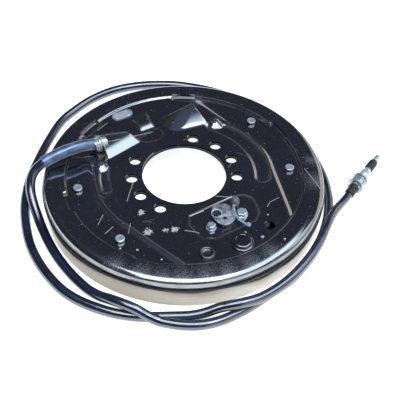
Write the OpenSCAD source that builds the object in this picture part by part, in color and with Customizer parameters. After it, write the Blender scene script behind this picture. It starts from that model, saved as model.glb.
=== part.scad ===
// Self-energising two-shoe drum brake on a pressed plate, axle face up, with its hand brake cable.
// Origin: hub bore axis at the axle-side hub face. +Z out of the back, +Y to the anchor pin.

/* [Plate] */
// Outside diameter of the pressed plate over its rim flange
plate_d = 344; // [340:1:348]
// Thickness of the pressed sheet
sheet_t = 3.2; // [2.8:0.1:3.4]
// Width of the raised rim band
rim_w = 28; // [26:0.5:30]
// Height of the rim band above the hub face
band_rise = 2; // [1.6:0.1:2.2]
// Depth of the shoe floor below the hub face
floor_drop = 4; // [3.6:0.1:4.2]
// Depth of the rim flange edge below the hub face
flange_drop = 7.5; // [7.2:0.1:7.8]
// Diameter of the bore for the axle spigot
hub_d = 103; // [98:1:105]
// Distance of the axle bolt circle out from the bore edge
bolt_out = 13; // [12.5:0.1:14]
// Diameter of one axle bolt hole
bolt_d = 14; // [12:0.5:14]

/* [Shroud] */
// How far the ring stands out from the plate
shroud_over = 1; // [0.5:0.1:1.5]
// Height of the ring below the plate
shroud_h = 31.5; // [31.2:0.1:33]
// Wall of the ring
shroud_t = 3; // [2.6:0.1:3.2]

/* [Shoes] */
// Room between the linings and the ring, which takes the drum
drum_room = 15.3; // [14.8:0.1:16.4]
// Thickness of one lining
lining_t = 4.7; // [4:0.1:5]
// Width of the shoe rim
shoe_w = 29; // [27:0.5:29]
// Thickness of the shoe web
web_t = 5; // [4:0.1:5]
// Diameter of the anchor pin that the shoes bear on
anchor_d = 22; // [20:0.5:22]
// Diameter of a hold-down pin shank
hold_d = 4.8; // [4:0.1:5]

/* [Wheel cylinder] */
// Bore of the wheel cylinder
bore_d = 22.2; // [20:0.1:22.2]
// Width across the flats of a mounting bolt
bolt_af = 13; // [12:0.5:14]

/* [Hand brake] */
// Thickness of the parking lever
lever_t = 4; // [3.4:0.1:4]
// Diameter of the inner wire
wire_d = 3; // [2.6:0.1:3]
// Diameter of the cable jacket
cable_d = 12; // [11:0.1:12]
// Outside diameter of the steel guide tube
tube_d = 14.8; // [14.4:0.1:15.2]

/* [Hidden] */
$fn = 72;
plate_r = plate_d / 2;
eps = 0.05;
gap = 0.3;
hub_r = hub_d / 2;
bolt_ring = hub_r + bolt_out;
bolt_mid = -8;
bolt_step = 27.8;
under = -sheet_t;
floor_top = -floor_drop;
floor_under = floor_top - sheet_t;
band_under = band_rise - sheet_t;
step_r = plate_r - rim_w;
step_w = 2;
rim_round = 5;
plat_r = 108;
plat_run = 6;
doubler_r = bolt_ring + 11.5;
doubler_t = 3.2;
pad_angles = [-61, -8, 41];
pad_drop = 5;
pad_w = 34;
pad_l = 19;
pad_top_l = 10;
shroud_r = plate_r + shroud_over;
lining_r = shroud_r - shroud_t - drum_room;
stand_z = -flange_drop - shroud_h;
rest_z = floor_under - 1.3;
shoe_top = rest_z;
shoe_low = shoe_top - shoe_w;
web_z = (shoe_top + shoe_low) / 2;
web_hi = web_z + web_t / 2;
web_lo = web_z - web_t / 2;
table_r = lining_r - lining_t;
table_t = 3.5;
web_in = table_r - 38;
web_out = table_r - table_t;
anchor_y = table_r - 20;
anchor_r = anchor_d / 2;
neck_r = anchor_r - 2;
guide_z = web_lo - 0.3;
cyl_x = -3;
cyl_y = anchor_y - 38;
cyl_r = bore_d / 2 + 2.4;
cyl_len = 56;
cyl_bolt_span = cyl_len - 14;
cyl_deck = -14;
boss_x = -3.5;
boss_y = cyl_y - 11;
boss_r = 13.2;
neck_x = -2;
neck_y = cyl_y;
neck_boss_r = 9.5;
bleed_x = -22.5;
bleed_y = cyl_y - 14;
bleed_boss_r = 5;
tether_x = -41;
tether_y = cyl_y + 8;
tether_r = 29;
port_x = 3.5;
port_y = cyl_y - 10;
rod_r = 3.5;
rod_seat = 66;
hold_r = table_r - 21.5;
hold_angles = [-17.7, 25.6];
hold_boss = 5;
adj_y = 24 - table_r;
adj_seat = 44;
star_x = 14;
star_r = 14;
star_w = 7;
slot_x = 16;
slot_y = adj_y - 7;
slot_l = 26;
slot_w = 10;
plug_x = 43;
plug_y = anchor_y - 7.5;
plug_r = 8;
lever_z = web_hi + gap;
pivot_x = -74;
pivot_y = 100;
pivot_r = 4;
strut_y = cyl_y - 26;
strut_side = 2;
strut_slot_l = web_in - 20;
strut_gap = 5.4;
strut_seat = -1.2;
strut_low = 1;
end_x = -70;
end_y = -84;
end_z = floor_under - 5.2;
end_lip = 4.4;
ferrule_x = 72;
ferrule_y = -87;
ferrule_z = 10.2;
ferrule_r = 9.9;
wire_r = wire_d / 2;
tube_r = tube_d / 2;
tube_in = cable_d / 2 + gap;
tube_y = -89;
tube_x0 = 78.6;
tube_x1 = 146;
tube_z = 11;
tube_bow = 105;
cable_r = cable_d / 2;
lay_z = stand_z + cable_r;
over_z = lay_z + cable_d + 0.6;
fit_x = -174;
fit_y = 110;
fit_z = stand_z + 11.2;
fit_dir = 205;
spring_z = web_lo - 7;
ret_x = 92;
ret_y = cyl_y - 20;

// A solid bar of radius r from point a to point b.
module bar(a, b, r) {
  d = b - a;
  h = norm(d);
  translate(a) rotate([0, acos(d[2] / h), atan2(d[1], d[0])]) cylinder(h = h, r = r, $fn = 24);
}

// Copies the children to the two sides of the brake.
module both() {
  children();
  mirror([1, 0, 0]) children();
}

// The cast boss of the wheel cylinder in plan, out by an amount.
module boss_plan(out) {
  translate([boss_x, boss_y]) circle(r = boss_r + out);
  translate([neck_x, neck_y]) circle(r = neck_boss_r + out);
}

module at_holds() {
  for (a = hold_angles) {
    both() rotate([0, 0, a]) translate([hold_r, 0, 0]) children();
  }
}

module at_bolts() {
  for (k = [-1.5, -0.5, 0.5, 1.5]) {
    both() rotate([0, 0, bolt_mid + k * bolt_step]) translate([bolt_ring, 0, 0]) children();
  }
}

// A ring sector between two radii and two angles.
module sector(r1, r2, z1, z2, a1, a2) {
  rotate([0, 0, a1]) rotate_extrude(angle = a2 - a1) translate([r1, z1]) square([r2 - r1, z2 - z1]);
}

// A curved slot with round ends.
module track(r1, r2, z1, z2, a1, a2) {
  m = (r1 + r2) / 2;
  sector(r1, r2, z1, z2, a1, a2);
  for (a = [a1, a2]) {
    rotate([0, 0, a]) translate([m, 0, z1]) cylinder(h = z2 - z1, r = (r2 - r1) / 2 - 0.4, $fn = 32);
  }
}

// The raised middle of the plate with sloping sides, from z1 to z2, in by an amount at its foot.
module plateau(z1, z2, inset) {
  run = plat_run * (z2 - z1) / floor_drop;
  intersection() {
    union() {
      translate([0, 0, z1]) cylinder(h = z2 - z1, r1 = plat_r + run - inset, r2 = plat_r - inset);
      hull() {
        translate([0, 0, z1]) linear_extrude(eps) plateau_plan(inset - run);
        translate([0, 0, z2 - eps]) linear_extrude(eps) plateau_plan(inset);
      }
    }
    translate([0, 0, z1 - 1]) cylinder(h = z2 - z1 + 2, r = step_r + 1 - inset);
  }
}

module plateau_plan(inset) {
  polygon([[96 - inset, 42], [57 - inset, 142], [-57 + inset, 142], [-96 + inset, 42],
    [-87 + inset, -58], [-66 + inset, -142], [66 - inset, -142], [87 - inset, -58]]);
}

// The three cable bulges as solids, in by an amount.
module bulges(inset) {
  translate([0, end_y, -2]) {
    translate([14, -2, 0]) rotate([0, 90, 0]) cylinder(h = 54 - inset, r1 = 9 - inset, r2 = 20 - inset);
    translate([-18, 3, -1]) rotate([0, 90, 0]) cylinder(h = 42, r1 = 8.5 - inset, r2 = 14 - inset);
    translate([-76 + inset, 0, 0]) rotate([0, 90, 0]) {
      cylinder(h = 58 - inset, r1 = 19 - inset, r2 = 8.4 - inset);
    }
  }
}

module pad_solids() {
  for (a = pad_angles) {
    both() rotate([0, 0, a]) {
      translate([table_r + 3 - pad_l, -pad_w / 2, rest_z + gap]) {
        cube([pad_l, pad_w, floor_top - rest_z - gap]);
      }
      translate([table_r + 3 - pad_top_l, -pad_w / 2, rest_z + gap]) {
        cube([pad_top_l, pad_w, band_rise - rest_z - gap]);
      }
    }
  }
}

module pad_pockets() {
  for (a = pad_angles) {
    both() rotate([0, 0, a]) translate([table_r + 6 - pad_l, -pad_w / 2 + 3, -pad_drop]) {
      cube([pad_l - 6, pad_w - 6, 20]);
    }
  }
}

module rim_section() {
  x1 = plate_r - rim_round;
  translate([step_r, band_under]) square([x1 - step_r, sheet_t]);
  translate([plate_r - sheet_t, -flange_drop]) {
    square([sheet_t, flange_drop + band_rise - rim_round]);
  }
  intersection() {
    translate([x1, band_rise - rim_round]) difference() {
      circle(r = rim_round, $fn = 48);
      circle(r = rim_round - sheet_t, $fn = 32);
    }
    translate([x1, band_rise - rim_round]) square([rim_round, rim_round]);
  }
  polygon([[step_r - 1, floor_under], [step_r + 1, floor_under], [step_r + step_w + 2, band_under],
    [step_r + step_w, band_rise], [step_r, band_rise], [step_r - step_w, floor_top],
    [step_r - step_w, floor_under]]);
  translate([hub_r, floor_under]) square([step_r - hub_r, sheet_t]);
}

module oblong(l, w, h) {
  for (s = [-1, 1]) {
    translate([s * (l - w) / 2, 0, 0]) cylinder(h = h, r = w / 2, $fn = 40);
  }
  translate([-(l - w) / 2, -w / 2, 0]) cube([l - w, w, h]);
}

module backing_plate() {
  color([0.05, 0.05, 0.06]) difference() {
    union() {
      difference() {
        union() {
          rotate_extrude() rim_section();
          plateau(floor_top, 0, 0);
          pad_solids();
        }
        plateau(floor_under - eps, under, 1);
        pad_pockets();
      }
      track(82, 101, under - 2.6, under + eps, 144, 215);
      track(90, 105, under - 2.2, under + eps, -34, -12);
      intersection() {
        bulges(0);
        translate([-100, -130, under]) cube([200, 80, 40]);
      }
      both() translate([82, -61, -2.6]) {
        cylinder(h = 4.4, r1 = 12, r2 = 8, $fn = 40);
        translate([0, 0, 4.4]) cylinder(h = 1.6, r1 = 8, r2 = 3, $fn = 40);
      }
      at_holds() translate([0, 0, floor_under]) {
        cylinder(h = sheet_t + hold_boss, r1 = 9.5, r2 = 6.2, $fn = 40);
      }
      for (x = [-16.5, -23.5]) {
        translate([x, slot_y, -1]) cylinder(h = 2.6, r1 = 3.2, r2 = 1.6, $fn = 24);
      }
    }
    intersection() {
      bulges(sheet_t);
      translate([-100, -130, -20]) cube([200, 80, 60]);
    }
    translate([ferrule_x - 12, ferrule_y, ferrule_z]) rotate([0, 90, 0]) {
      cylinder(h = 20, r = 7, $fn = 40);
    }
    track(85, 98, -2.6, 20, 144, 215);
    track(93, 102, -2.2, 20, -34, -12);
    translate([0, cyl_y, -0.8]) linear_extrude(20) {
      polygon([[30, -28], [-30, -30], [-44, -25], [-49, -16], [-47, -2], [-43, 8], [-33, 16],
        [22, 17], [36, 8], [38, -16]]);
    }
    bar([end_x, end_y, end_z], [ferrule_x, ferrule_y, ferrule_z], wire_r + gap);
    translate([0, 0, -30]) cylinder(h = 60, r = hub_r);
    at_bolts() translate([0, 0, -30]) cylinder(h = 60, r = bolt_d / 2, $fn = 40);
    at_holds() translate([0, 0, -30]) cylinder(h = 60, r = hold_d / 2 + gap, $fn = 32);
    for (s = [-1, 1]) {
      translate([cyl_x + s * cyl_bolt_span / 2, cyl_y, -30]) cylinder(h = 60, r = 4.3, $fn = 32);
    }
    translate([0, 0, -30]) linear_extrude(60) boss_plan(gap);
    translate([bleed_x, bleed_y, -30]) cylinder(h = 60, r = bleed_boss_r + gap, $fn = 40);
    translate([0, anchor_y, -30]) cylinder(h = 60, r = anchor_r + eps);
    translate([slot_x, slot_y, -30]) oblong(slot_l, slot_w, 60);
    for (s = [-1, 1]) {
      translate([s * plug_x, plug_y, -30]) cylinder(h = 60, r = plug_r - 2, $fn = 40);
    }
  }
}

module hub_doubler() {
  color([0.06, 0.06, 0.07]) difference() {
    translate([0, 0, under - doubler_t]) cylinder(h = doubler_t, r = doubler_r);
    translate([0, 0, -30]) cylinder(h = 60, r = hub_r);
    at_bolts() translate([0, 0, -30]) cylinder(h = 60, r = bolt_d / 2, $fn = 40);
    translate([0, 0, -30]) linear_extrude(60) boss_plan(gap);
    translate([bleed_x, bleed_y, -30]) cylinder(h = 60, r = bleed_boss_r + gap, $fn = 40);
    intersection() {
      bulges(sheet_t - gap);
      translate([-100, -130, -20]) cube([200, 80, 60]);
    }
  }
}

module drum_shroud() {
  color([0.07, 0.07, 0.08]) rotate_extrude($fn = 96) polygon([
    [shroud_r - shroud_t, stand_z], [shroud_r, stand_z], [shroud_r, -flange_drop - 0.8],
    [shroud_r - 0.8, -flange_drop], [shroud_r - shroud_t, -flange_drop]]);
}

module anchor_pin() {
  color([0.08, 0.08, 0.09]) translate([0, anchor_y, 0]) {
    translate([0, 0, 0]) cylinder(h = 4.5, r = 13.2);
    translate([0, 0, 4.5]) cylinder(h = 1.5, r1 = 13.2, r2 = 11.4);
    translate([0, 0, guide_z]) cylinder(h = -guide_z, r = anchor_r);
    translate([0, 0, stand_z + 2]) cylinder(h = guide_z - stand_z - 2, r = neck_r);
  }
}

module shoe_guide() {
  color([0.45, 0.45, 0.46]) difference() {
    translate([0, anchor_y - 2, guide_z - 1.8]) cylinder(h = 1.8, r = 20);
    translate([0, anchor_y, -60]) cylinder(h = 60, r = neck_r);
    translate([-30, anchor_y + 13, -60]) cube([60, 30, 60]);
  }
}

module anchor_clip() {
  color([0.4, 0.4, 0.42]) translate([0, anchor_y, stand_z + 2.6]) difference() {
    cylinder(h = 1.6, r = neck_r + 3.5);
    translate([0, 0, -1]) cylinder(h = 4, r = neck_r);
    translate([-5, -20, -1]) cube([10, 12, 4]);
  }
}

module wheel_cylinder() {
  color([0.1, 0.1, 0.11]) difference() {
    union() {
      translate([cyl_x - cyl_len / 2, cyl_y, web_z]) rotate([0, 90, 0]) {
        cylinder(h = cyl_len, r = cyl_r);
      }
      translate([cyl_x - 28, cyl_y - 10, cyl_deck - 3]) cube([56, 20, under - cyl_deck + 3]);
      translate([0, 0, cyl_deck]) linear_extrude(2.6 - cyl_deck) boss_plan(0);
      translate([0, 0, 2.5]) linear_extrude(0.9) boss_plan(-1);
      translate([bleed_x, bleed_y, cyl_deck]) {
        cylinder(h = 4 - cyl_deck, r = bleed_boss_r, $fn = 40);
      }
    }
    translate([cyl_x - cyl_len, cyl_y, web_z]) rotate([0, 90, 0]) {
      cylinder(h = 2 * cyl_len, r = bore_d / 2);
    }
    translate([port_x, port_y, 0]) {
      translate([0, 0, -6]) cylinder(h = 20, r = 3.6, $fn = 32);
      translate([0, 0, -16]) cylinder(h = 20, r = 1.6, $fn = 24);
      translate([0, 0, 2.4]) cylinder(h = 1.5, r1 = 3.6, r2 = 5, $fn = 32);
    }
    translate([-1, 93.5, -4]) cylinder(h = 20, r = 2.2, $fn = 24);
    translate([bleed_x, bleed_y, -10]) cylinder(h = 30, r = 3 + gap, $fn = 32);
    for (s = [-1, 1]) {
      translate([cyl_x + s * cyl_bolt_span / 2, cyl_y, cyl_deck + 1]) {
        cylinder(h = 30, r = 4 + gap, $fn = 32);
      }
    }
  }
}

module piston(s) {
  color([0.62, 0.63, 0.65]) translate([cyl_x, cyl_y, web_z]) rotate([0, s * 90, 0]) difference() {
    translate([0, 0, 9]) cylinder(h = 15, r = bore_d / 2 - 0.05);
    translate([0, 0, 20]) cylinder(h = 8, r = rod_r + 0.2, $fn = 32);
  }
}

module primary_piston() {
  piston(1);
}

module secondary_piston() {
  piston(-1);
}

module cup_seal(s) {
  color([0.05, 0.05, 0.05]) translate([cyl_x, cyl_y, web_z]) rotate([0, s * 90, 0]) difference() {
    translate([0, 0, 4]) cylinder(h = 5, r = bore_d / 2 - 0.05);
    translate([0, 0, 3]) cylinder(h = 3.5, r1 = 8.4, r2 = 6.6, $fn = 40);
  }
}

module primary_cup() {
  cup_seal(1);
}

module secondary_cup() {
  cup_seal(-1);
}

// A close spring as a body turned along +Z, with shallow grooves between the coils.
module coil_body(h, r, wire, turns, core = 0) {
  p = h / turns;
  rotate_extrude($fn = 24) polygon(concat(
    [for (k = [0 : turns - 1]) each [[r - wire * 0.35, k * p], [r, (k + 0.5) * p]]],
    [[r - wire * 0.35, h], [core, h], [core, 0]]));
}

module cylinder_spring() {
  color([0.6, 0.6, 0.62]) translate([cyl_x - 6.3, cyl_y, web_z]) rotate([0, 90, 0]) {
    coil_body(12.6, 5.5, 1.2, 5, 4.3);
  }
}

module boot(s) {
  z0 = cyl_len / 2;
  color([0.04, 0.04, 0.04]) translate([cyl_x, cyl_y, web_z]) rotate([0, s * 90, 0]) difference() {
    union() {
      translate([0, 0, z0]) cylinder(h = 3, r = 12);
      translate([0, 0, z0 + 3]) cylinder(h = 4, r1 = 11, r2 = 6.4, $fn = 48);
    }
    translate([0, 0, z0 - 1]) cylinder(h = 9, r = rod_r + gap, $fn = 32);
  }
}

module primary_boot() {
  boot(1);
}

module secondary_boot() {
  boot(-1);
}

module push_rod(s) {
  a = cyl_x + s * 20;
  b = s * (rod_seat - 0.1);
  color([0.5, 0.5, 0.52]) bar([a, cyl_y, web_z], [b, cyl_y, web_z], rod_r);
}

module primary_push_rod() {
  push_rod(1);
}

module secondary_push_rod() {
  push_rod(-1);
}

// One flanged hexagon screw, head seat at z = 0.
module hex_screw(af, head, shank, reach) {
  cylinder(h = 1.4, r = af * 0.66, $fn = 40);
  difference() {
    translate([0, 0, 1.4]) cylinder(h = head, r = af / sqrt(3), $fn = 6);
    translate([0, 0, head + 0.8]) cylinder(h = 2, r = af * 0.28, $fn = 32);
  }
  translate([0, 0, -reach]) cylinder(h = reach, r = shank, $fn = 32);
}

module cylinder_bolts() {
  color([0.7, 0.71, 0.73]) for (s = [-1, 1]) {
    translate([cyl_x + s * cyl_bolt_span / 2, cyl_y, -0.8]) rotate([0, 0, 12 * s]) {
      hex_screw(bolt_af, 5.3, 4, 11);
    }
  }
}

module bleeder_screw() {
  color([0.62, 0.6, 0.5]) translate([bleed_x, bleed_y, 4]) {
    translate([0, 0, 0]) cylinder(h = 3.6, r = 4.6, $fn = 6);
    translate([0, 0, 3.6]) cylinder(h = 4, r = 2.6, $fn = 32);
    translate([0, 0, -11]) cylinder(h = 11, r = 3, $fn = 32);
  }
}

module bleeder_cap() {
  color([0.05, 0.05, 0.05]) translate([bleed_x, bleed_y, 7.6]) difference() {
    union() {
      cylinder(h = 6, r1 = 5.4, r2 = 4.4, $fn = 40);
      translate([0, 0, 6]) cylinder(h = 2, r1 = 4.4, r2 = 3, $fn = 40);
      translate([tether_x - bleed_x, tether_y - bleed_y, 0]) rotate([0, 0, -49.5]) {
        rotate_extrude(angle = 82) translate([tether_r - 1.1, 0.6]) square([2.2, 1.6]);
      }
    }
    translate([0, 0, -1]) cylinder(h = 5, r = 2.6, $fn = 32);
  }
}

module shoe_solid() {
  difference() {
    union() {
      sector(web_in, web_out + eps, web_lo, web_hi, -71, 84);
      sector(web_out, table_r, shoe_low, shoe_top, -60, 70);
    }
    translate([0, anchor_y, -60]) cylinder(h = 60, r = anchor_r + 0.25);
    for (a = hold_angles) {
      rotate([0, 0, a]) translate([hold_r, 0, -60]) cylinder(h = 60, r = 5.5, $fn = 32);
    }
    translate([rod_seat - 20, cyl_y - rod_r - 1, -60]) cube([20, 2 * rod_r + 2, 60]);
    translate([adj_seat - 20, adj_y - 6.5, -60]) cube([20, 13, 60]);
    translate([ret_x, ret_y, -60]) rotate([0, 0, -20]) oblong(9.6, 4.8, 60);
    translate([46, -108.5, -60]) cylinder(h = 60, r = 2.6, $fn = 24);
  }
}

module primary_shoe() {
  color([0.09, 0.09, 0.1]) difference() {
    shoe_solid();
    translate([60, strut_y - 4 - strut_side - strut_low, -60]) {
      cube([strut_slot_l + strut_gap + gap - 60, 8 + 2 * strut_side + strut_low, 60]);
    }
  }
}

module secondary_shoe() {
  color([0.09, 0.09, 0.1]) difference() {
    mirror([1, 0, 0]) shoe_solid();
    translate([pivot_x, pivot_y, -60]) cylinder(h = 60, r = pivot_r + 0.05, $fn = 40);
    translate([-strut_slot_l - 12, strut_y - 4 - strut_side, -60]) cube([40, 8 + 2 * strut_side, 60]);
  }
}

module lining() {
  sector(table_r, lining_r, shoe_low + 1, shoe_top - 1, -56, 62);
}

module primary_lining() {
  color([0.33, 0.29, 0.25]) lining();
}

module secondary_lining() {
  color([0.33, 0.29, 0.25]) mirror([1, 0, 0]) lining();
}

module hold_down_pins() {
  color([0.7, 0.71, 0.73]) at_holds() {
    translate([0, 0, floor_top + hold_boss]) cylinder(h = 1, r = 5.6, $fn = 40);
    translate([0, 0, floor_top + hold_boss + 1]) cylinder(h = 1.4, r1 = 5.6, r2 = 3.6, $fn = 40);
    translate([0, 0, stand_z + 2]) {
      cylinder(h = floor_top + hold_boss - stand_z - 2, r = hold_d / 2, $fn = 32);
      translate([0, 0, 0]) cylinder(h = 1.2, r = 3.9, $fn = 32);
    }
  }
}

module hold_down_springs() {
  z0 = stand_z + 5.2;
  color([0.55, 0.56, 0.58]) at_holds() translate([0, 0, z0]) {
    coil_body(web_lo - gap - z0, 7.4, 1.6, 3, 5.8);
  }
}

module hold_down_cups() {
  color([0.55, 0.56, 0.5]) at_holds() translate([0, 0, stand_z + 3.2]) difference() {
    cylinder(h = 4, r = 9.4, $fn = 40);
    translate([0, 0, 2]) cylinder(h = 4, r = 8.2, $fn = 40);
    translate([0, 0, -1]) cylinder(h = 4, r = hold_d / 2 + 0.05, $fn = 32);
  }
}

// A return spring: ring on the anchor neck, coils, and a hook into the web.
module return_spring(s, shift) {
  d = [s * ret_x, ret_y - anchor_y, 0];
  u = d / norm(d);
  n = norm(d);
  o = [0, anchor_y, spring_z + shift];
  r = neck_r + 0.1;
  translate([0, anchor_y, spring_z + shift - 1.1]) difference() {
    cylinder(h = 2.2, r = r + 2.2, $fn = 40);
    translate([0, 0, -1]) cylinder(h = 5, r = r, $fn = 40);
  }
  bar(o + u * (r + 1.2), o + u * 34, 1.1);
  translate(o + u * 34) rotate([0, 90, atan2(d[1], d[0])]) coil_body(n - 48, 4.5, 1.9, 12);
  bar(o + u * (n - 15), o + u * n, 1.1);
  translate(o + u * n - [0, 0, 1.6]) cylinder(h = web_hi - spring_z - shift, r = 1.3, $fn = 24);
}

module primary_return_spring() {
  color([0.16, 0.2, 0.24]) return_spring(1, 1.2);
}

module secondary_return_spring() {
  color([0.16, 0.2, 0.24]) return_spring(-1, -1.2);
}

module adjuster_fork(s) {
  translate([s * 36, adj_y, web_z]) rotate([0, s > 0 ? 0 : 180, 0]) difference() {
    translate([0, -6, -6.2]) cube([14, 12, 12.4]);
    translate([adj_seat - 36 - 0.1, -7, -web_t / 2 - gap]) cube([12, 14, web_t + 2 * gap]);
  }
}

module adjuster_nut() {
  color([0.5, 0.5, 0.52]) difference() {
    union() {
      translate([-37, adj_y, web_z]) rotate([0, 90, 0]) cylinder(h = 41, r = 7.4, $fn = 48);
      adjuster_fork(-1);
    }
    translate([-33, adj_y, web_z]) rotate([0, 90, 0]) cylinder(h = 50, r = 5.3, $fn = 40);
  }
}

module adjuster_screw() {
  color([0.6, 0.6, 0.62]) translate([0, adj_y, web_z]) rotate([0, 90, 0]) {
    translate([0, 0, -28]) cylinder(h = 40, r = 5.25, $fn = 40);
    difference() {
      translate([0, 0, star_x - star_w / 2]) cylinder(h = star_w, r = star_r, $fn = 60);
      for (k = [0 : 19]) {
        rotate([0, 0, k * 18]) translate([star_r - 2.6, -1.3, star_x - 5]) cube([4, 2.6, 10]);
      }
    }
    translate([0, 0, star_x]) cylinder(h = 20, r = 4.4, $fn = 40);
  }
}

module adjuster_socket() {
  x0 = star_x + star_w / 2 + gap;
  color([0.5, 0.5, 0.52]) difference() {
    union() {
      translate([x0, adj_y, web_z]) rotate([0, 90, 0]) cylinder(h = 37 - x0, r = 7.4, $fn = 48);
      adjuster_fork(1);
    }
    translate([x0 - 1, adj_y, web_z]) rotate([0, 90, 0]) cylinder(h = 18.5, r = 4.45, $fn = 40);
  }
}

module adjuster_spring() {
  y = -108.5;
  color([0.16, 0.2, 0.24]) {
    translate([-30, y, spring_z]) rotate([0, 90, 0]) coil_body(60, 4.5, 1.9, 14);
    for (s = [-1, 1]) {
      bar([s * 29, y, spring_z], [s * 45, y, spring_z], 1.1);
      translate([s * 45, y, spring_z - 1.6]) cylinder(h = web_hi - spring_z, r = 1.3, $fn = 24);
    }
  }
}

module parking_lever() {
  s = strut_slot_l;
  color([0.42, 0.42, 0.4]) difference() {
    union() {
      translate([pivot_x, pivot_y, lever_z]) cylinder(h = lever_t, r = 9);
      translate([0, 0, lever_z]) linear_extrude(lever_t) polygon([[-83, 100], [-3 - s, 80],
        [-11 - s, 58], [-16 - s, 30], [-16 - s, 0], [-12 - s, -24], [-4 - s, -48], [-84, -70],
        [-72.5, -79], [-72.5, -91], [-67.5, -91], [-67.5, -76], [-76, -66], [-84, -46], [3 - s, -24],
        [1 - s, 0], [1 - s, 30], [4 - s, 52], [10 - s, 74], [-69, 92.5], [-66, 97]]);
      translate([end_x - 2.5, end_y - 7, lever_z]) cube([5, 14, end_z + end_lip - lever_z]);
    }
    translate([pivot_x, pivot_y, -60]) cylinder(h = 60, r = pivot_r + 0.05, $fn = 40);
    translate([end_x - 6, end_y - wire_r - 2.4, end_z - 2.4]) cube([12, wire_d + 4.3, 20]);
  }
}

module lever_pivot() {
  color([0.6, 0.6, 0.62]) translate([pivot_x, pivot_y, 0]) {
    translate([0, 0, lever_z + lever_t]) cylinder(h = 2.4, r = 7, $fn = 40);
    translate([0, 0, web_lo - 2.6]) {
      cylinder(h = lever_z + lever_t - web_lo + 2.6, r = pivot_r, $fn = 40);
    }
  }
}

module lever_clip() {
  color([0.5, 0.5, 0.5]) translate([pivot_x, pivot_y, web_lo - 1.4]) difference() {
    cylinder(h = 1.4, r = 6.6, $fn = 40);
    translate([0, 0, -1]) cylinder(h = 4, r = pivot_r, $fn = 40);
    translate([-2, 1, -1]) cube([4, 9, 4]);
  }
}

module parking_strut() {
  h = 14;
  color([0.42, 0.42, 0.4]) difference() {
    translate([-strut_slot_l - 4, strut_y - 4, web_z - h / 2]) {
      cube([2 * strut_slot_l + 4 + strut_seat, 8, h]);
    }
    translate([-strut_slot_l - 6, strut_y - 6, web_lo - gap]) {
      cube([16, 12, lever_z + lever_t - web_lo + 2 * gap]);
    }
    translate([-60, strut_y - 6, web_z + 3]) cube([120, 12, 6]);
    translate([-60, strut_y - 6, web_z - 9]) cube([120, 12, 6]);
  }
}

module strut_spring() {
  color([0.5, 0.52, 0.55]) difference() {
    translate([44, strut_y, web_z]) rotate([0, 90, 0]) coil_body(14, 7.6, 1.6, 5, 2);
    translate([40, strut_y - 4.1, web_z - 3.1]) cube([30, 8.2, 6.2]);
  }
}

module inner_wire() {
  a = [end_x, end_y, end_z];
  b = [ferrule_x, ferrule_y, ferrule_z];
  u = (b - a) / norm(b - a);
  color([0.6, 0.61, 0.63]) {
    bar(a - u * 8, b - u * 2, wire_r);
    bar(a - u * 10.6, a - u * 4.4, 4.6);
  }
}

module cable_ferrule() {
  color([0.72, 0.73, 0.75]) translate([ferrule_x, ferrule_y, ferrule_z]) rotate([0, 90, 0]) {
    difference() {
      union() {
        translate([0, 0, -4]) cylinder(h = 2.2, r = ferrule_r, $fn = 48);
        translate([0, 0, -1.9]) cylinder(h = 2, r = ferrule_r - 2, $fn = 48);
        translate([0, 0, 0]) cylinder(h = 2.2, r = ferrule_r, $fn = 48);
        translate([0, 0, 2.1]) cylinder(h = 1.5, r = ferrule_r - 2.2, $fn = 48);
        translate([0, 0, -10]) cylinder(h = 6.1, r = 6.4, $fn = 40);
      }
      translate([0, 0, -11]) cylinder(h = 20, r = wire_r + 2.2, $fn = 32);
    }
  }
}

module ferrule_clip() {
  color([0.55, 0.56, 0.58]) difference() {
    union() {
      translate([ferrule_x - 1.7, ferrule_y - 13, 0]) cube([1.5, 26, ferrule_z + 5]);
      translate([ferrule_x - 1.7, ferrule_y - 13, 0]) cube([8, 26, 1.4]);
    }
    translate([ferrule_x - 4, ferrule_y, ferrule_z]) rotate([0, 90, 0]) {
      cylinder(h = 5, r = ferrule_r - 1.9, $fn = 48);
    }
    translate([ferrule_x - 0.1, ferrule_y, ferrule_z]) rotate([0, 90, 0]) {
      cylinder(h = 20, r = ferrule_r + gap, $fn = 48);
    }
  }
}

// Centre of the bend of the guide tube, which rises and falls in one upright plane.
tube_mid = (tube_x0 + tube_x1) / 2;
tube_half = asin((tube_x1 - tube_x0) / 2 / tube_bow);
tube_cz = tube_z - tube_bow * cos(tube_half);

module guide_tube() {
  color([0.5, 0.54, 0.58]) translate([tube_mid, tube_y, tube_cz]) rotate([90, 0, 0]) {
    rotate([0, 0, 90 - tube_half]) rotate_extrude(angle = 2 * tube_half, $fn = 160) {
      translate([tube_bow, 0]) difference() {
        circle(r = tube_r, $fn = 40);
        circle(r = tube_in, $fn = 32);
      }
    }
  }
}

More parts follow.
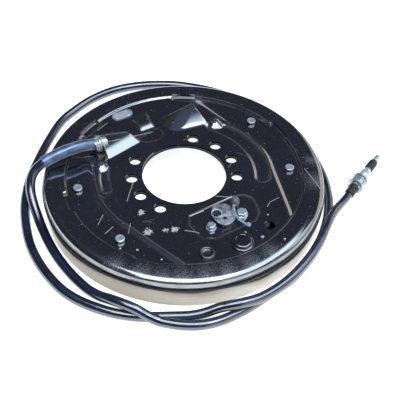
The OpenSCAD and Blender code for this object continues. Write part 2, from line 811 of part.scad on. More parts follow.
// Route of the cable: bend of the tube, drop beside the wall, then one turn and a half on the floor.
fit_u = [cos(fit_dir), sin(fit_dir), 0];
fit_o = [fit_x, fit_y, fit_z];
tube_line = [for (k = [0 : 4]) let (a = -8 + k * (tube_half + 8) / 4)
  [tube_mid + tube_bow * sin(a), tube_y, tube_cz + tube_bow * cos(a)]];
route = concat(tube_line, [
  [157, -88.5, 4.6], [165.5, -84, -3], [171, -75, -12], [174, -63, -20], [176, -48, -27],
  [178, -32, -31.6], [180, -12, lay_z], [181, 10, lay_z], [180, 32, lay_z], [177, 55, lay_z],
  [172, 76, lay_z], [166, 95, -28.4], [158.5, 111, -22.4], [150, 124.5, over_z],
  [141, 136, -22.2], [132, 147, -28], [121, 158, lay_z], [105, 172, lay_z], [86, 183, lay_z],
  [64, 189, lay_z], [40, 190, lay_z], [19, 188.5, lay_z], [-4, 185, lay_z], [-34, 181, lay_z],
  [-60, 172, lay_z], [-87, 159, lay_z], [-113, 141, lay_z], [-137, 118, lay_z],
  [-157, 90, lay_z], [-172, 56, lay_z], [-181, 14, lay_z], [-182, -30, lay_z],
  [-175, -72, lay_z], [-160, -110, lay_z], [-138, -147, lay_z], [-110, -177, lay_z],
  [-84, -196, lay_z], [-50, -212, lay_z], [-15, -219.5, lay_z], [20, -217, lay_z],
  [50, -207.5, lay_z], [78, -194, lay_z], [108, -168, lay_z], [137, -138, lay_z],
  [162, -108, lay_z], [182, -73, lay_z], [196, -34, lay_z], [202, -2, lay_z], [202, 32, lay_z],
  [196, 66, lay_z], [184, 92, lay_z], [166, 116, lay_z], [148, 133, lay_z], [129, 146, lay_z],
  [110, 156.5, lay_z], [92, 166, lay_z], [76, 172.5, -31], [58, 178.5, -25.6],
  [40, 187, over_z - 0.4], [18, 192, over_z], [-4, 191.5, over_z], [-26, 187.5, over_z],
  [-48, 180.5, over_z], [-72, 170, over_z], [-95, 156.5, over_z], [-114, 143, over_z],
  [-133, 130, -22.6], [-152, 120, -26.4]], [fit_o - fit_u * 8, fit_o]);

function unit(v) = v / norm(v);
function tangent(p, i) = unit(p[min(i + 1, len(p) - 1)] - p[max(i - 1, 0)]);
function side_of(t) = unit(cross([0, 0, 1], t));

module sweep(p, r, sides) {
  n = len(p);
  pts = [for (i = [0 : n - 1]) let (t = i == n - 1 ? fit_u : tangent(p, i), s = side_of(t), u = cross(t, s))
    each [for (k = [0 : sides - 1]) p[i] + r * (cos(k * 360 / sides) * s + sin(k * 360 / sides) * u)]];
  faces = concat([[for (k = [0 : sides - 1]) k]],
    [for (i = [0 : n - 2], k = [0 : sides - 1]) let (a = i * sides + k, b = i * sides + (k + 1) % sides)
      [a, a + sides, b + sides, b]],
    [[for (k = [sides - 1 : -1 : 0]) (n - 1) * sides + k]]);
  polyhedron(points = pts, faces = faces, convexity = 10);
}

module cable_jacket() {
  color([0.05, 0.05, 0.06]) sweep(route, cable_r, 10);
}

// Places the children on the axis of the far fitting, z along it.
module on_fitting(s) {
  translate(fit_o + fit_u * s) rotate([0, 90, fit_dir]) children();
}

module end_sleeve() {
  color([0.05, 0.05, 0.06]) on_fitting(0) {
    cylinder(h = 12, r = 7.6, $fn = 40);
    translate([0, 0, 12]) cylinder(h = 4, r = 8.6, $fn = 40);
  }
}

module threaded_body() {
  color([0.66, 0.67, 0.68]) on_fitting(16) difference() {
    union() {
      cylinder(h = 32, r = 6.2, $fn = 40);
      translate([0, 0, 29]) cylinder(h = 4, r = 7.4, $fn = 40);
      translate([0, 0, 33]) cylinder(h = 9, r = 5, $fn = 40);
    }
    translate([0, 0, 10]) cylinder(h = 40, r = 3.2, $fn = 32);
  }
}

module flange_nut() {
  color([0.75, 0.76, 0.78]) on_fitting(16) difference() {
    union() {
      cylinder(h = 3, r = 11, $fn = 48);
      translate([0, 0, 3]) cylinder(h = 8.5, r = 9.2, $fn = 6);
    }
    translate([0, 0, -1]) cylinder(h = 20, r = 6.2 + gap, $fn = 40);
  }
}

module lock_nut() {
  color([0.75, 0.76, 0.78]) on_fitting(37) difference() {
    cylinder(h = 8, r = 9.6, $fn = 6);
    translate([0, 0, -1]) cylinder(h = 20, r = 6.2 + gap, $fn = 40);
  }
}

module end_boot() {
  color([0.04, 0.04, 0.04]) on_fitting(54) difference() {
    union() {
      cylinder(h = 4, r = 6.8, $fn = 40);
      translate([0, 0, 4]) cylinder(h = 11, r1 = 6, r2 = 4, $fn = 40);
    }
    translate([0, 0, -1]) cylinder(h = 5, r = 5, $fn = 40);
    translate([0, 0, 3]) cylinder(h = 14, r = 2.6 + gap, $fn = 32);
  }
}

module end_rod() {
  color([0.74, 0.75, 0.77]) on_fitting(30) {
    cylinder(h = 54, r = 2.6, $fn = 32);
    translate([0, 0, 52]) cylinder(h = 3, r = 3.4, $fn = 32);
  }
}

module slot_plug() {
  color([0.35, 0.36, 0.38]) translate([slot_x, slot_y, 0]) {
    oblong(slot_l + 3, slot_w + 3, 1.8);
    translate([0, 0, under - 1]) oblong(slot_l - 0.6, slot_w - 0.6, 1 - under);
  }
}

module plate_plug() {
  color([0.05, 0.05, 0.05]) translate([plug_x, plug_y, 0]) difference() {
    union() {
      cylinder(h = 2.4, r = plug_r, $fn = 40);
      translate([0, 0, under - 2]) cylinder(h = 2 - under, r = plug_r - 2.3, $fn = 40);
    }
    translate([0, 0, 0.8]) cylinder(h = 4, r = 4.6, $fn = 40);
  }
}

backing_plate();
hub_doubler();
drum_shroud();
anchor_pin();
shoe_guide();
anchor_clip();
wheel_cylinder();
primary_piston();
secondary_piston();
primary_cup();
secondary_cup();
cylinder_spring();
primary_boot();
secondary_boot();
primary_push_rod();
secondary_push_rod();
cylinder_bolts();
bleeder_screw();
bleeder_cap();
primary_shoe();
secondary_shoe();
primary_lining();
secondary_lining();
hold_down_pins();
hold_down_springs();
hold_down_cups();
primary_return_spring();
secondary_return_spring();
adjuster_nut();
adjuster_screw();
adjuster_socket();
adjuster_spring();
parking_lever();
lever_pivot();
lever_clip();
parking_strut();
strut_spring();
inner_wire();
cable_ferrule();
ferrule_clip();
guide_tube();
cable_jacket();
end_sleeve();
threaded_body();
flange_nut();
lock_nut();
end_boot();
end_rod();
slot_plug();
plate_plug();
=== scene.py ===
# Wheel brake back plate with its hand brake cable: the finish over the CAD frame, in metres.
import math
import bmesh
import bpy
import numpy as np
from mathutils import Matrix, Vector


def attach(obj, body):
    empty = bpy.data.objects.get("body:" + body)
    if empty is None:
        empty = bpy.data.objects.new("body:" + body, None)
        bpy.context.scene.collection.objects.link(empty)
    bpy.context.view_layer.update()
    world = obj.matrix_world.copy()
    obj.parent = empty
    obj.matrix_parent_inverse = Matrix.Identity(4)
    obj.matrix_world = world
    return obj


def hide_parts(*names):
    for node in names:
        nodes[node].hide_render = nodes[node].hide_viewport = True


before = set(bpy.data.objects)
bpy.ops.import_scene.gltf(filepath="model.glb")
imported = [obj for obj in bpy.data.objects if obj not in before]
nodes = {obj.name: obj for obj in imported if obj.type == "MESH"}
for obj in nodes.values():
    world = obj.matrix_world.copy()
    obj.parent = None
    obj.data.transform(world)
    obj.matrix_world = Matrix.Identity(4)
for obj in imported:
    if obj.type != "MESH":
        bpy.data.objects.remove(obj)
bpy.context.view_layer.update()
scene = bpy.context.scene
scene.view_settings.view_transform = "Standard"
mm = 0.001

cameraSetup = {
    # the photograph's viewpoint in metres, found from the rim, the bore and the bolt holes
    "place": (0.38338, 0.62566, 0.72479),
    "right": (-0.85503, 0.51759, 0.03195),
    "up": (-0.3567, -0.63175, 0.68823),
    "back": (0.3764, 0.57706, 0.72479),
    "lens": 75.843,
    "sensor": 36.0,
}


def makeCamera():
    data = bpy.data.cameras.new("studioCamera")
    data.sensor_fit = "HORIZONTAL"
    data.sensor_width = cameraSetup["sensor"]
    data.lens = cameraSetup["lens"]
    data.clip_end = 20
    turn = Matrix((cameraSetup["right"], cameraSetup["up"], cameraSetup["back"])).transposed()
    obj = bpy.data.objects.new("studioCamera", data)
    obj.matrix_world = Matrix.Translation(cameraSetup["place"]) @ turn.to_4x4()
    scene.collection.objects.link(obj)
    scene.camera = obj


makeCamera()
print("camera placed")


def srgb(code):
    # hex colour as seen on screen, turned to the linear light that the shader wants
    parts = [int(code[i:i + 2], 16) / 255 for i in (1, 3, 5)]
    return tuple(c / 12.92 if c <= 0.04045 else ((c + 0.055) / 1.055) ** 2.4 for c in parts) + (1.0,)


def addNode(tree, kind, inputs=None, **settings):
    # one shader node with its settings, each input a value or the socket that feeds it
    node = tree.nodes.new("ShaderNode" + kind)
    for name, value in settings.items():
        setattr(node, name, value)
    for name, value in (inputs or {}).items():
        if isinstance(value, bpy.types.NodeSocket):
            tree.links.new(value, node.inputs[name])
        else:
            node.inputs[name].default_value = value
    return node


def newMaterial(name, look):
    # a Principled shader with the look's constants, and the place on the part that patterns use
    mat = bpy.data.materials.new(name)
    mat.use_nodes = True
    tree = mat.node_tree
    tree.nodes.clear()
    shader = addNode(tree, "BsdfPrincipled", look)
    addNode(tree, "OutputMaterial", {"Surface": shader.outputs[0]})
    place = addNode(tree, "TexCoord").outputs["Object"]
    return mat, tree, shader, place


def deselectAll():
    if bpy.context.object and bpy.context.object.mode != "OBJECT":
        bpy.ops.object.mode_set(mode="OBJECT")
    bpy.ops.object.select_all(action="DESELECT")


def pickOnly(obj):
    deselectAll()
    obj.select_set(True)
    bpy.context.view_layer.objects.active = obj


def settle(obj, name, mat, stands, smooth=35, body="plate"):
    # the finished piece: place in its mesh, finish on, riding on its body, in place of its CAD node
    pickOnly(obj)
    bpy.ops.object.transform_apply(location=True, rotation=True, scale=True)
    if smooth:
        bpy.ops.object.shade_smooth_by_angle(angle=math.radians(smooth))
    obj.name = name
    obj.data.name = name
    if mat:
        obj.data.materials.clear()
        obj.data.materials.append(mat)
    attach(obj, body)
    if stands:
        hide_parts(*stands)
    return obj


def paint(mat, *names):
    # a finish for CAD nodes that keep their own shape
    for name in names:
        data = nodes[name].data
        data.materials.clear()
        data.materials.append(mat)


enamelLook = {
    "colour": "#07080b", "tint": "#10141d", "dust": "#8b8d8e", "scratch": "#b5a99a", "chip": "#a9a7a2",
    "edge": "#a3978b", "rough": 0.07, "smudged": 0.2, "ior": 2.9, "coat": 0.4,
}


def scratchMark(tree, place, a, b, width):
    # 1 along the line from a to b (mm, in plan), 0 past its width
    a, b = Vector(a + (0.0,)) * mm, Vector(b + (0.0,)) * mm
    run = b - a
    off = addNode(tree, "VectorMath", {0: place, 1: a}, operation="SUBTRACT").outputs[0]
    along = addNode(tree, "VectorMath", {0: off, 1: run / run.length_squared}, operation="DOT_PRODUCT")
    share = addNode(tree, "Math", {0: along.outputs["Value"], 1: 0.0}, operation="MAXIMUM", use_clamp=True)
    near = addNode(tree, "VectorMath", {0: run, "Scale": share.outputs[0]}, operation="SCALE")
    gone = addNode(tree, "VectorMath", {0: off, 1: near.outputs[0]}, operation="SUBTRACT")
    far = addNode(tree, "VectorMath", {0: gone.outputs[0]}, operation="LENGTH")
    return addNode(tree, "MapRange", {"Value": far.outputs["Value"], "From Min": 0.25 * width * mm,
                                      "From Max": width * mm, "To Min": 1.0, "To Max": 0.0}).outputs[0]


def patchMark(tree, place, centre, radius):
    # 1 at the middle of a marked place (mm, in plan), 0 past its radius
    off = addNode(tree, "VectorMath", {0: place, 1: Vector(centre + (0.0,)) * mm}, operation="SUBTRACT")
    far = addNode(tree, "VectorMath", {0: off.outputs[0]}, operation="LENGTH")
    return addNode(tree, "MapRange", {"Value": far.outputs["Value"], "From Min": 0.0,
                                      "From Max": radius * mm, "To Min": 1.0, "To Max": 0.0}).outputs[0]


def strongest(tree, marks):
    # the highest of several marks at each place
    best = marks[0]
    for mark in marks[1:]:
        best = addNode(tree, "Math", {0: best, 1: mark}, operation="MAXIMUM").outputs[0]
    return best


def makeEnamel(name, scratches=(), chips=(), frost=(), bends=0.0):
    # stoving enamel on pressed steel: deep blue-black mirror gloss, faint dust, hairline handling
    # scratches that show pale, chips down to grey metal and frosted dust where hands and racks rub
    look = enamelLook
    mat, tree, shader, place = newMaterial(name, {
        "Roughness": look["rough"], "IOR": look["ior"], "Coat Weight": look["coat"], "Coat Roughness": 0.03})
    flat = addNode(tree, "VectorMath", {0: place, 1: (1, 1, 0)}, operation="MULTIPLY").outputs[0]
    cloud = addNode(tree, "TexNoise", {"Vector": place, "Scale": 14.0, "Detail": 4.0}).outputs[0]
    deep = addNode(tree, "MapRange", {"Value": cloud, "From Min": 0.35, "From Max": 0.7}).outputs[0]
    colour = addNode(tree, "Mix", {0: deep, 6: srgb(look["colour"]), 7: srgb(look["tint"])},
                     data_type="RGBA").outputs[2]
    # dust grains 0.3 to 0.6 mm across, drawn 1.5 mm apart, in drifting patches
    grain = addNode(tree, "TexVoronoi", {"Vector": place, "Scale": 330.0}).outputs["Distance"]
    speck = addNode(tree, "MapRange", {"Value": grain, "From Min": 0.06, "From Max": 0.16,
                                       "To Min": 1.0, "To Max": 0.0}).outputs[0]
    drift = addNode(tree, "TexNoise", {"Vector": place, "Scale": 26.0, "Detail": 2.0}).outputs[0]
    where = addNode(tree, "MapRange", {"Value": drift, "From Min": 0.47, "From Max": 0.62}).outputs[0]
    dust = addNode(tree, "Math", {0: speck, 1: where}, operation="MULTIPLY").outputs[0]
    if frost:
        patch = strongest(tree, [patchMark(tree, flat, centre, radius) for centre, radius in frost])
        fine = addNode(tree, "TexNoise", {"Vector": place, "Scale": 900.0, "Detail": 3.0,
                                          "Roughness": 0.7}).outputs[0]
        both = addNode(tree, "Math", {0: patch, 1: 0.26, 2: fine}, operation="MULTIPLY_ADD").outputs[0]
        frosted = addNode(tree, "MapRange", {"Value": both, "From Min": 0.6, "From Max": 0.78,
                                             "To Max": 1.3}).outputs[0]
        dust = strongest(tree, [dust, frosted])
    dust = addNode(tree, "Math", {0: dust, 1: 0.34}, operation="MULTIPLY", use_clamp=True).outputs[0]
    colour = addNode(tree, "Mix", {0: dust, 6: colour, 7: srgb(look["dust"])}, data_type="RGBA").outputs[2]
    # hairlines: the cell borders of a stretched pattern, shown only here and there
    lean = addNode(tree, "Mapping", {"Vector": place, "Rotation": (0, 0, 0.7), "Scale": (9, 31, 9)})
    cells = addNode(tree, "TexVoronoi", {"Vector": lean.outputs[0], "Scale": 1.0},
                    feature="DISTANCE_TO_EDGE").outputs["Distance"]
    hair = addNode(tree, "MapRange", {"Value": cells, "From Min": 0.0, "From Max": 0.004,
                                      "To Min": 0.3, "To Max": 0.0}).outputs[0]
    part = addNode(tree, "TexNoise", {"Vector": place, "Scale": 30.0, "Detail": 2.0}).outputs[0]
    shown = addNode(tree, "MapRange", {"Value": part, "From Min": 0.56, "From Max": 0.66}).outputs[0]
    lines = addNode(tree, "Math", {0: hair, 1: shown}, operation="MULTIPLY").outputs[0]
    if scratches:
        lines = strongest(tree, [lines] + [scratchMark(tree, flat, a, b, w) for a, b, w in scratches])
    colour = addNode(tree, "Mix", {0: lines, 6: colour, 7: srgb(look["scratch"])},
                     data_type="RGBA").outputs[2]
    rubbed = strongest(tree, [dust, lines])
    if bends:
        # pale lines along the pressed bends, patchy along their length: partly painted highlight where the
        # bends catch light, partly dust caught and film rubbed thin
        edge = addNode(tree, "Attribute", attribute_name="bends").outputs["Fac"]
        gaps = addNode(tree, "MapRange", {"Value": drift, "From Min": 0.3, "From Max": 0.6,
                                          "To Min": 0.25 * bends, "To Max": bends}).outputs[0]
        edge = addNode(tree, "Math", {0: edge, 1: gaps}, operation="MULTIPLY").outputs[0]
        # the pale edge colour: painted highlight along the bends, partly dust
        colour = addNode(tree, "Mix", {0: edge, 6: colour, 7: srgb(look["edge"])},
                         data_type="RGBA").outputs[2]
    if chips:
        near = strongest(tree, [patchMark(tree, flat, centre, radius) for centre, radius in chips])
        flake = addNode(tree, "TexNoise", {"Vector": place, "Scale": 340.0, "Detail": 3.0,
                                           "Roughness": 0.65}).outputs[0]
        both = addNode(tree, "Math", {0: near, 1: 0.42, 2: flake}, operation="MULTIPLY_ADD").outputs[0]
        chipped = addNode(tree, "MapRange", {"Value": both, "From Min": 0.69, "From Max": 0.73}).outputs[0]
        colour = addNode(tree, "Mix", {0: chipped, 6: colour, 7: srgb(look["chip"])},
                         data_type="RGBA").outputs[2]
        rubbed = strongest(tree, [rubbed, chipped])
    tree.links.new(colour, shader.inputs["Base Color"])
    smear = addNode(tree, "TexNoise", {"Vector": place, "Scale": 9.0, "Detail": 5.0, "Roughness": 0.6,
                                       "Distortion": 0.4}).outputs[0]
    rough = addNode(tree, "MapRange", {"Value": smear, "From Min": 0.48, "From Max": 0.78,
                                       "To Min": look["rough"], "To Max": look["smudged"]}).outputs[0]
    dull = addNode(tree, "Math", {0: rubbed, 1: 0.6}, operation="MULTIPLY").outputs[0]
    tree.links.new(strongest(tree, [rough, dull]), shader.inputs["Roughness"])
    # orange peel of the sprayed film, about 8 mm between its swells, with fine grit
    swell = addNode(tree, "TexNoise", {"Vector": place, "Scale": 120.0, "Detail": 2.0}).outputs[0]
    grit = addNode(tree, "TexNoise", {"Vector": place, "Scale": 520.0, "Detail": 2.0}).outputs[0]
    height = addNode(tree, "Math", {0: grit, 1: 0.3, 2: swell}, operation="MULTIPLY_ADD").outputs[0]
    bump = addNode(tree, "Bump", {"Height": height, "Strength": 0.045, "Distance": 0.0004})
    tree.links.new(bump.outputs[0], shader.inputs["Normal"])
    return mat


def makeFinish(name, look, tones, pattern, bump, rough=None):
    # a finish in two tones over one noise pattern: scale in mm, bump strength and depth in mm
    mat, tree, shader, place = newMaterial(name, look)
    noise = addNode(tree, "TexNoise", {"Vector": place, "Scale": 1000.0 / pattern, "Detail": 4.0,
                                       "Roughness": 0.6}).outputs[0]
    share = addNode(tree, "MapRange", {"Value": noise, "From Min": 0.36, "From Max": 0.68}).outputs[0]
    colour = addNode(tree, "Mix", {0: share, 6: srgb(tones[0]), 7: srgb(tones[1])}, data_type="RGBA")
    tree.links.new(colour.outputs[2], shader.inputs["Base Color"])
    if rough:
        gloss = addNode(tree, "MapRange", {"Value": noise, "From Min": 0.3, "From Max": 0.72,
                                           "To Min": rough[0], "To Max": rough[1]})
        tree.links.new(gloss.outputs[0], shader.inputs["Roughness"])
    fine = addNode(tree, "TexNoise", {"Vector": place, "Scale": 1000.0 / bump[0], "Detail": 3.0}).outputs[0]
    relief = addNode(tree, "Bump", {"Height": fine, "Strength": bump[1], "Distance": bump[2] * mm})
    tree.links.new(relief.outputs[0], shader.inputs["Normal"])
    return mat, tree, shader, place, colour.outputs[2]


def makeSpecks(tree, shader, place, colour, tone, spacing, size, most):
    # small lighter grains over a finish, spacing in mm
    grain = addNode(tree, "TexVoronoi", {"Vector": place, "Scale": 1000.0 / spacing}).outputs["Distance"]
    speck = addNode(tree, "MapRange", {"Value": grain, "From Min": size * 0.5, "From Max": size,
                                       "To Min": most, "To Max": 0.0}).outputs[0]
    mixed = addNode(tree, "Mix", {0: speck, 6: colour, 7: srgb(tone)}, data_type="RGBA").outputs[2]
    tree.links.new(mixed, shader.inputs["Base Color"])


shellToneAndShade = {
    # the wall's painted shade: its tone on the cable side (darker) and away from it (paler), standing in for
    # its reflection brightening that way, with the turn (radians) between them; its streaks
    "dark": "#918a7d", "pale": "#c2bdb2", "turn": (0.5, 1.9), "streak": "#736c62", "streakMost": 0.25,
}


def makeShell():
    # the ring's outer wall: bare rolled steel under clear oil, a beige-grey mirror with painted shade and
    # painted reflection: darker on the side turned to the cable entry, paler away from it, with rolling
    # streaks along it
    mat, tree, shader, place = newMaterial("rolledSteelBandPaintedShade", {"Metallic": 1.0, "Roughness": 0.12})
    parts = addNode(tree, "SeparateXYZ", {0: place})
    # painted shade: the tone follows the turn round the ring, not a mark on the steel
    turn = addNode(tree, "Math", {0: parts.outputs["Y"], 1: parts.outputs["X"]}, operation="ARCTAN2")
    share = addNode(tree, "MapRange", {"Value": turn.outputs[0], "From Min": shellToneAndShade["turn"][0],
                                        "From Max": shellToneAndShade["turn"][1]},
                    interpolation_type="SMOOTHSTEP").outputs[0]
    tone = addNode(tree, "Mix", {0: share, 6: srgb(shellToneAndShade["dark"]), 7: srgb(shellToneAndShade["pale"])},
                   data_type="RGBA")
    around = addNode(tree, "CombineXYZ", {"X": turn.outputs[0], "Z": parts.outputs["Z"]})
    wide = addNode(tree, "Mapping", {"Vector": around.outputs[0], "Scale": (6.0, 1.0, 420.0)})
    streak = addNode(tree, "TexNoise", {"Vector": wide.outputs[0], "Scale": 1.0, "Detail": 3.0}).outputs[0]
    faint = addNode(tree, "MapRange", {"Value": streak, "From Min": 0.42, "From Max": 0.72,
                                       "To Min": 0.0, "To Max": shellToneAndShade["streakMost"]}).outputs[0]
    colour = addNode(tree, "Mix", {0: faint, 6: tone.outputs[2], 7: srgb(shellToneAndShade["streak"])},
                     data_type="RGBA")
    tree.links.new(colour.outputs[2], shader.inputs["Base Color"])
    gloss = addNode(tree, "MapRange", {"Value": streak, "From Min": 0.3, "From Max": 0.8,
                                       "To Min": 0.08, "To Max": 0.26}).outputs[0]
    tree.links.new(gloss, shader.inputs["Roughness"])
    bump = addNode(tree, "Bump", {"Height": streak, "Strength": 0.05, "Distance": 0.0004})
    tree.links.new(bump.outputs[0], shader.inputs["Normal"])
    return mat


def makeHoleWall(name, top, band):
    # punched edge: a paler brown-grey band in patches along the top of the wall, and dull black below it,
    # painted shade inside the hole
    mat, tree, shader, place = newMaterial(name, {"Roughness": 0.6, "IOR": 1.4})
    height = addNode(tree, "SeparateXYZ", {0: place}).outputs["Z"]
    edge = addNode(tree, "MapRange", {"Value": height, "From Min": (top - band) * mm,
                                      "From Max": (top - band * 0.4) * mm}).outputs[0]
    patch = addNode(tree, "TexNoise", {"Vector": place, "Scale": 90.0, "Detail": 3.0}).outputs[0]
    mottle = addNode(tree, "MapRange", {"Value": patch, "From Min": 0.3, "From Max": 0.55,
                                      "To Min": 0.25, "To Max": 1.0}).outputs[0]
    share = addNode(tree, "Math", {0: edge, 1: mottle}, operation="MULTIPLY").outputs[0]
    # painted shade: the dull black fills the wall below its top band
    colour = addNode(tree, "Mix", {0: share, 6: srgb("#090a0d"), 7: srgb("#55504c")}, data_type="RGBA")
    tree.links.new(colour.outputs[2], shader.inputs["Base Color"])
    bump = addNode(tree, "Bump", {"Height": patch, "Strength": 0.2, "Distance": 0.0003})
    tree.links.new(bump.outputs[0], shader.inputs["Normal"])
    return mat


plateWear = {
    # handling scratches from and to (mm) with their width, chips and frosted places with their radius
    "scratches": [
        ((106, -94), (85.2, -81.2), 0.5), ((83.3, 8.2), (62.3, -16.2), 0.55),
        ((62.3, -16.2), (53.3, -22.9), 0.45),
        ((128.5, 22.6), (116.5, 11.5), 0.5), ((127.7, 38.9), (115, 33.8), 0.6),
        ((30.8, 64.5), (12.0, 64.9), 0.9),
        ((-56.8, 97.2), (-63.4, 92.3), 0.5), ((-63.4, 92.3), (-77.4, 91.4), 0.5),
        ((-12, 51.8), (-25.5, 61.5), 0.6),
        ((46.9, 81.3), (34.5, 91.8), 0.7), ((-132.2, 67.3), (-128.7, 105), 0.5),
        ((40, -128), (58, -121), 0.5),
        ((-30, -52), (-44, -39), 0.35), ((105, 52), (96, 41), 0.4), ((-52, 18), (-70, 10), 0.3)],
    "chips": [((77.0, 32.0), 7), ((85.0, 62.5), 8), ((56.0, 74.0), 8), ((66.0, 70.0), 5), ((-25.7, 133.1), 3),
              ((-44.5, 149.9), 3.5), ((107.4, 78.0), 2.5), ((89.9, 103.9), 2.5), ((122.9, 66.6), 2.5),
              ((26.0, -86.0), 6), ((-12.5, 118.0), 2.5), ((-50.0, 108.0), 2.0)],
    "frost": [((121, 112), 24), ((104, 130), 26), ((84, 141), 28), ((60, 150), 24), ((36, 157), 26),
              ((8, 160), 26), ((-20, 158), 22), ((140, 88), 20), ((-85, -110), 16), ((-132, 92), 24),
              ((-148, 60), 16)],
}

enamel = makeEnamel("glossBlackEnamel")
plateEnamel = makeEnamel("plateBlackEnamel", bends=0.6, **plateWear)
shellBand = makeShell()
holeWall = makeHoleWall("punchedEdgePaintedShade", 0.0, 1.1)
hubWall = makeHoleWall("doublerEdgePaintedShade", -3.2, 1.0)
# thin enamel over the drawn flange: the steel shines through as a pale grey mirror
flangeSkin = makeFinish("thinEnamelFlange", {"Metallic": 0.8, "Roughness": 0.12}, ("#8c8e90", "#a9aaa8"),
                        20.0, (2.0, 0.06, 0.2), (0.08, 0.2))[0]
# bright zinc plate, blue passivated: cool pale metal with cloudy patches
zinc = makeFinish("blueZincPlate", {"Metallic": 0.72, "Roughness": 0.3}, ("#a9bac3", "#edf5f7"), 5.0,
                  (1.0, 0.2, 0.2), (0.42, 0.22))[0]
# pressed clip steel, zinc flashed and handled: darker, with brown patches
clipZinc = makeFinish("flashedSpringSteel", {"Metallic": 1.0, "Roughness": 0.4}, ("#3f3b37", "#8f8d8a"), 4.0,
                      (1.2, 0.3, 0.3), (0.5, 0.25))[0]
# plain steel under oil: mid grey, fine drawn grain
steel = makeFinish("oiledSteel", {"Metallic": 1.0, "Roughness": 0.36}, ("#55575a", "#8a8c8e"), 4.0,
                   (1.6, 0.15, 0.2), (0.46, 0.28))[0]
# turned aluminium: pale, even, satin
aluminium = makeFinish("turnedAluminium", {"Metallic": 1.0, "Roughness": 0.3}, ("#9a9da0", "#b9bcbf"), 3.0,
                       (0.8, 0.12, 0.1), (0.36, 0.24))[0]
# moulded rubber: dull black with a greyish bloom
rubber = makeFinish("mouldedRubber", {"Roughness": 0.5, "IOR": 1.52}, ("#121314", "#2c2e31"), 11.0,
                    (1.4, 0.15, 0.2), (0.4, 0.62))[0]
# moulded nylon plug: near black and shiny
nylon = makeFinish("mouldedNylon", {"Roughness": 0.14, "IOR": 2.3}, ("#0c0d10", "#181a20"), 8.0,
                   (2.0, 0.1, 0.2), (0.18, 0.34))[0]
# grey rubber grommet: pale bloom, satin
greyRubber = makeFinish("greyGrommetRubber", {"Roughness": 0.24, "IOR": 2.2}, ("#7c8993", "#aab6bf"), 5.0,
                        (0.9, 0.25, 0.2), (0.3, 0.5))[0]
# machined face of the iron casting, oiled: pale lilac grey with darker stains
castFace = makeFinish("machinedIronFace", {"Metallic": 0.6, "Roughness": 0.34}, ("#66676f", "#e2e3ea"), 9.0,
                      (0.9, 0.25, 0.2), (0.5, 0.26))[0]
# turned seat of the pipe port: clean metal painted near white, a painted highlight for the bright ring round
# the port
portSeatPaintedHighlight = makeFinish("turnedPortSeatPaintedHighlight", {"Metallic": 0.2, "Roughness": 0.26}, ("#bcc2cc", "#eef1f6"), 3.0,
                       (0.7, 0.08, 0.1), (0.26, 0.18))[0]
# sand cast iron under thin black paint: pebbled, half gloss
casting = makeFinish("paintedCasting", {"Roughness": 0.3, "IOR": 1.9}, ("#101218", "#2b2f37"), 2.6,
                     (2.2, 0.4, 0.5), (0.25, 0.4))[0]
# painted spring wire: dark blue, half gloss
springPaint = makeFinish("paintedSpringWire", {"Roughness": 0.33, "IOR": 1.6}, ("#1d2936", "#35485c"), 8.0,
                         (1.5, 0.15, 0.2), (0.28, 0.42))[0]
# steel tube in clear blue lacquer: grey-blue satin in paler and darker patches
tubePaint = makeFinish("lacqueredTube", {"Metallic": 0.6, "Roughness": 0.32}, ("#56647c", "#8496b4"), 12.0,
                       (2.0, 0.1, 0.2), (0.26, 0.4))[0]
# anchor pin head: cold headed steel under gloss black enamel, in two dark tones
anchorPaint = makeFinish("headedPinEnamel", {"Roughness": 0.12, "IOR": 2.4, "Coat Weight": 0.0,
                                             "Coat Roughness": 0.05}, ("#0a0b0f", "#1a1d25"), 5.0,
                         (2.0, 0.12, 0.3), (0.08, 0.26))[0]
# moulded dust cap: mid grey rubber with a pale bloom
greyCap = makeFinish("dustCapRubber", {"Roughness": 0.45, "IOR": 1.6}, ("#3f4046", "#777a82"), 4.0,
                     (0.9, 0.2, 0.2), (0.36, 0.55))[0]
# soft clear strap of the dust cap: milky blue
strapPlastic = makeFinish("milkyStrap", {"Roughness": 0.35, "IOR": 1.5}, ("#6f7f94", "#a3b0c2"), 5.0,
                          (1.0, 0.15, 0.2), (0.3, 0.5))[0]
# yellow passivated brass screw
brass = makeFinish("bleederBrass", {"Metallic": 1.0, "Roughness": 0.35}, ("#8f7a45", "#c9b273"), 3.0,
                   (0.8, 0.15, 0.1), (0.42, 0.26))[0]

# extruded plastic jacket over a flat wire conduit: black, semi-gloss, dusty
jacket, tree, shader, place, tone = makeFinish("cableJacket", {
    "Roughness": 0.16, "IOR": 2.2, "Coat Weight": 0.4, "Coat Roughness": 0.08}, ("#0a1221", "#1a2943"), 25.0,
    (3.0, 0.12, 0.3), (0.1, 0.26))
makeSpecks(tree, shader, place, tone, "#6d7276", 3.0, 0.13, 0.45)
# bonded friction lining: moulded brown-grey with brass and grit specks
lining, tree, shader, place, tone = makeFinish("frictionLining", {"Roughness": 0.82},
                                               ("#3a342d", "#6b6155"), 2.0,
                                               (1.2, 0.4, 0.4))
makeSpecks(tree, shader, place, tone, "#a08a5c", 1.7, 0.15, 0.8)
print("finishes mixed")


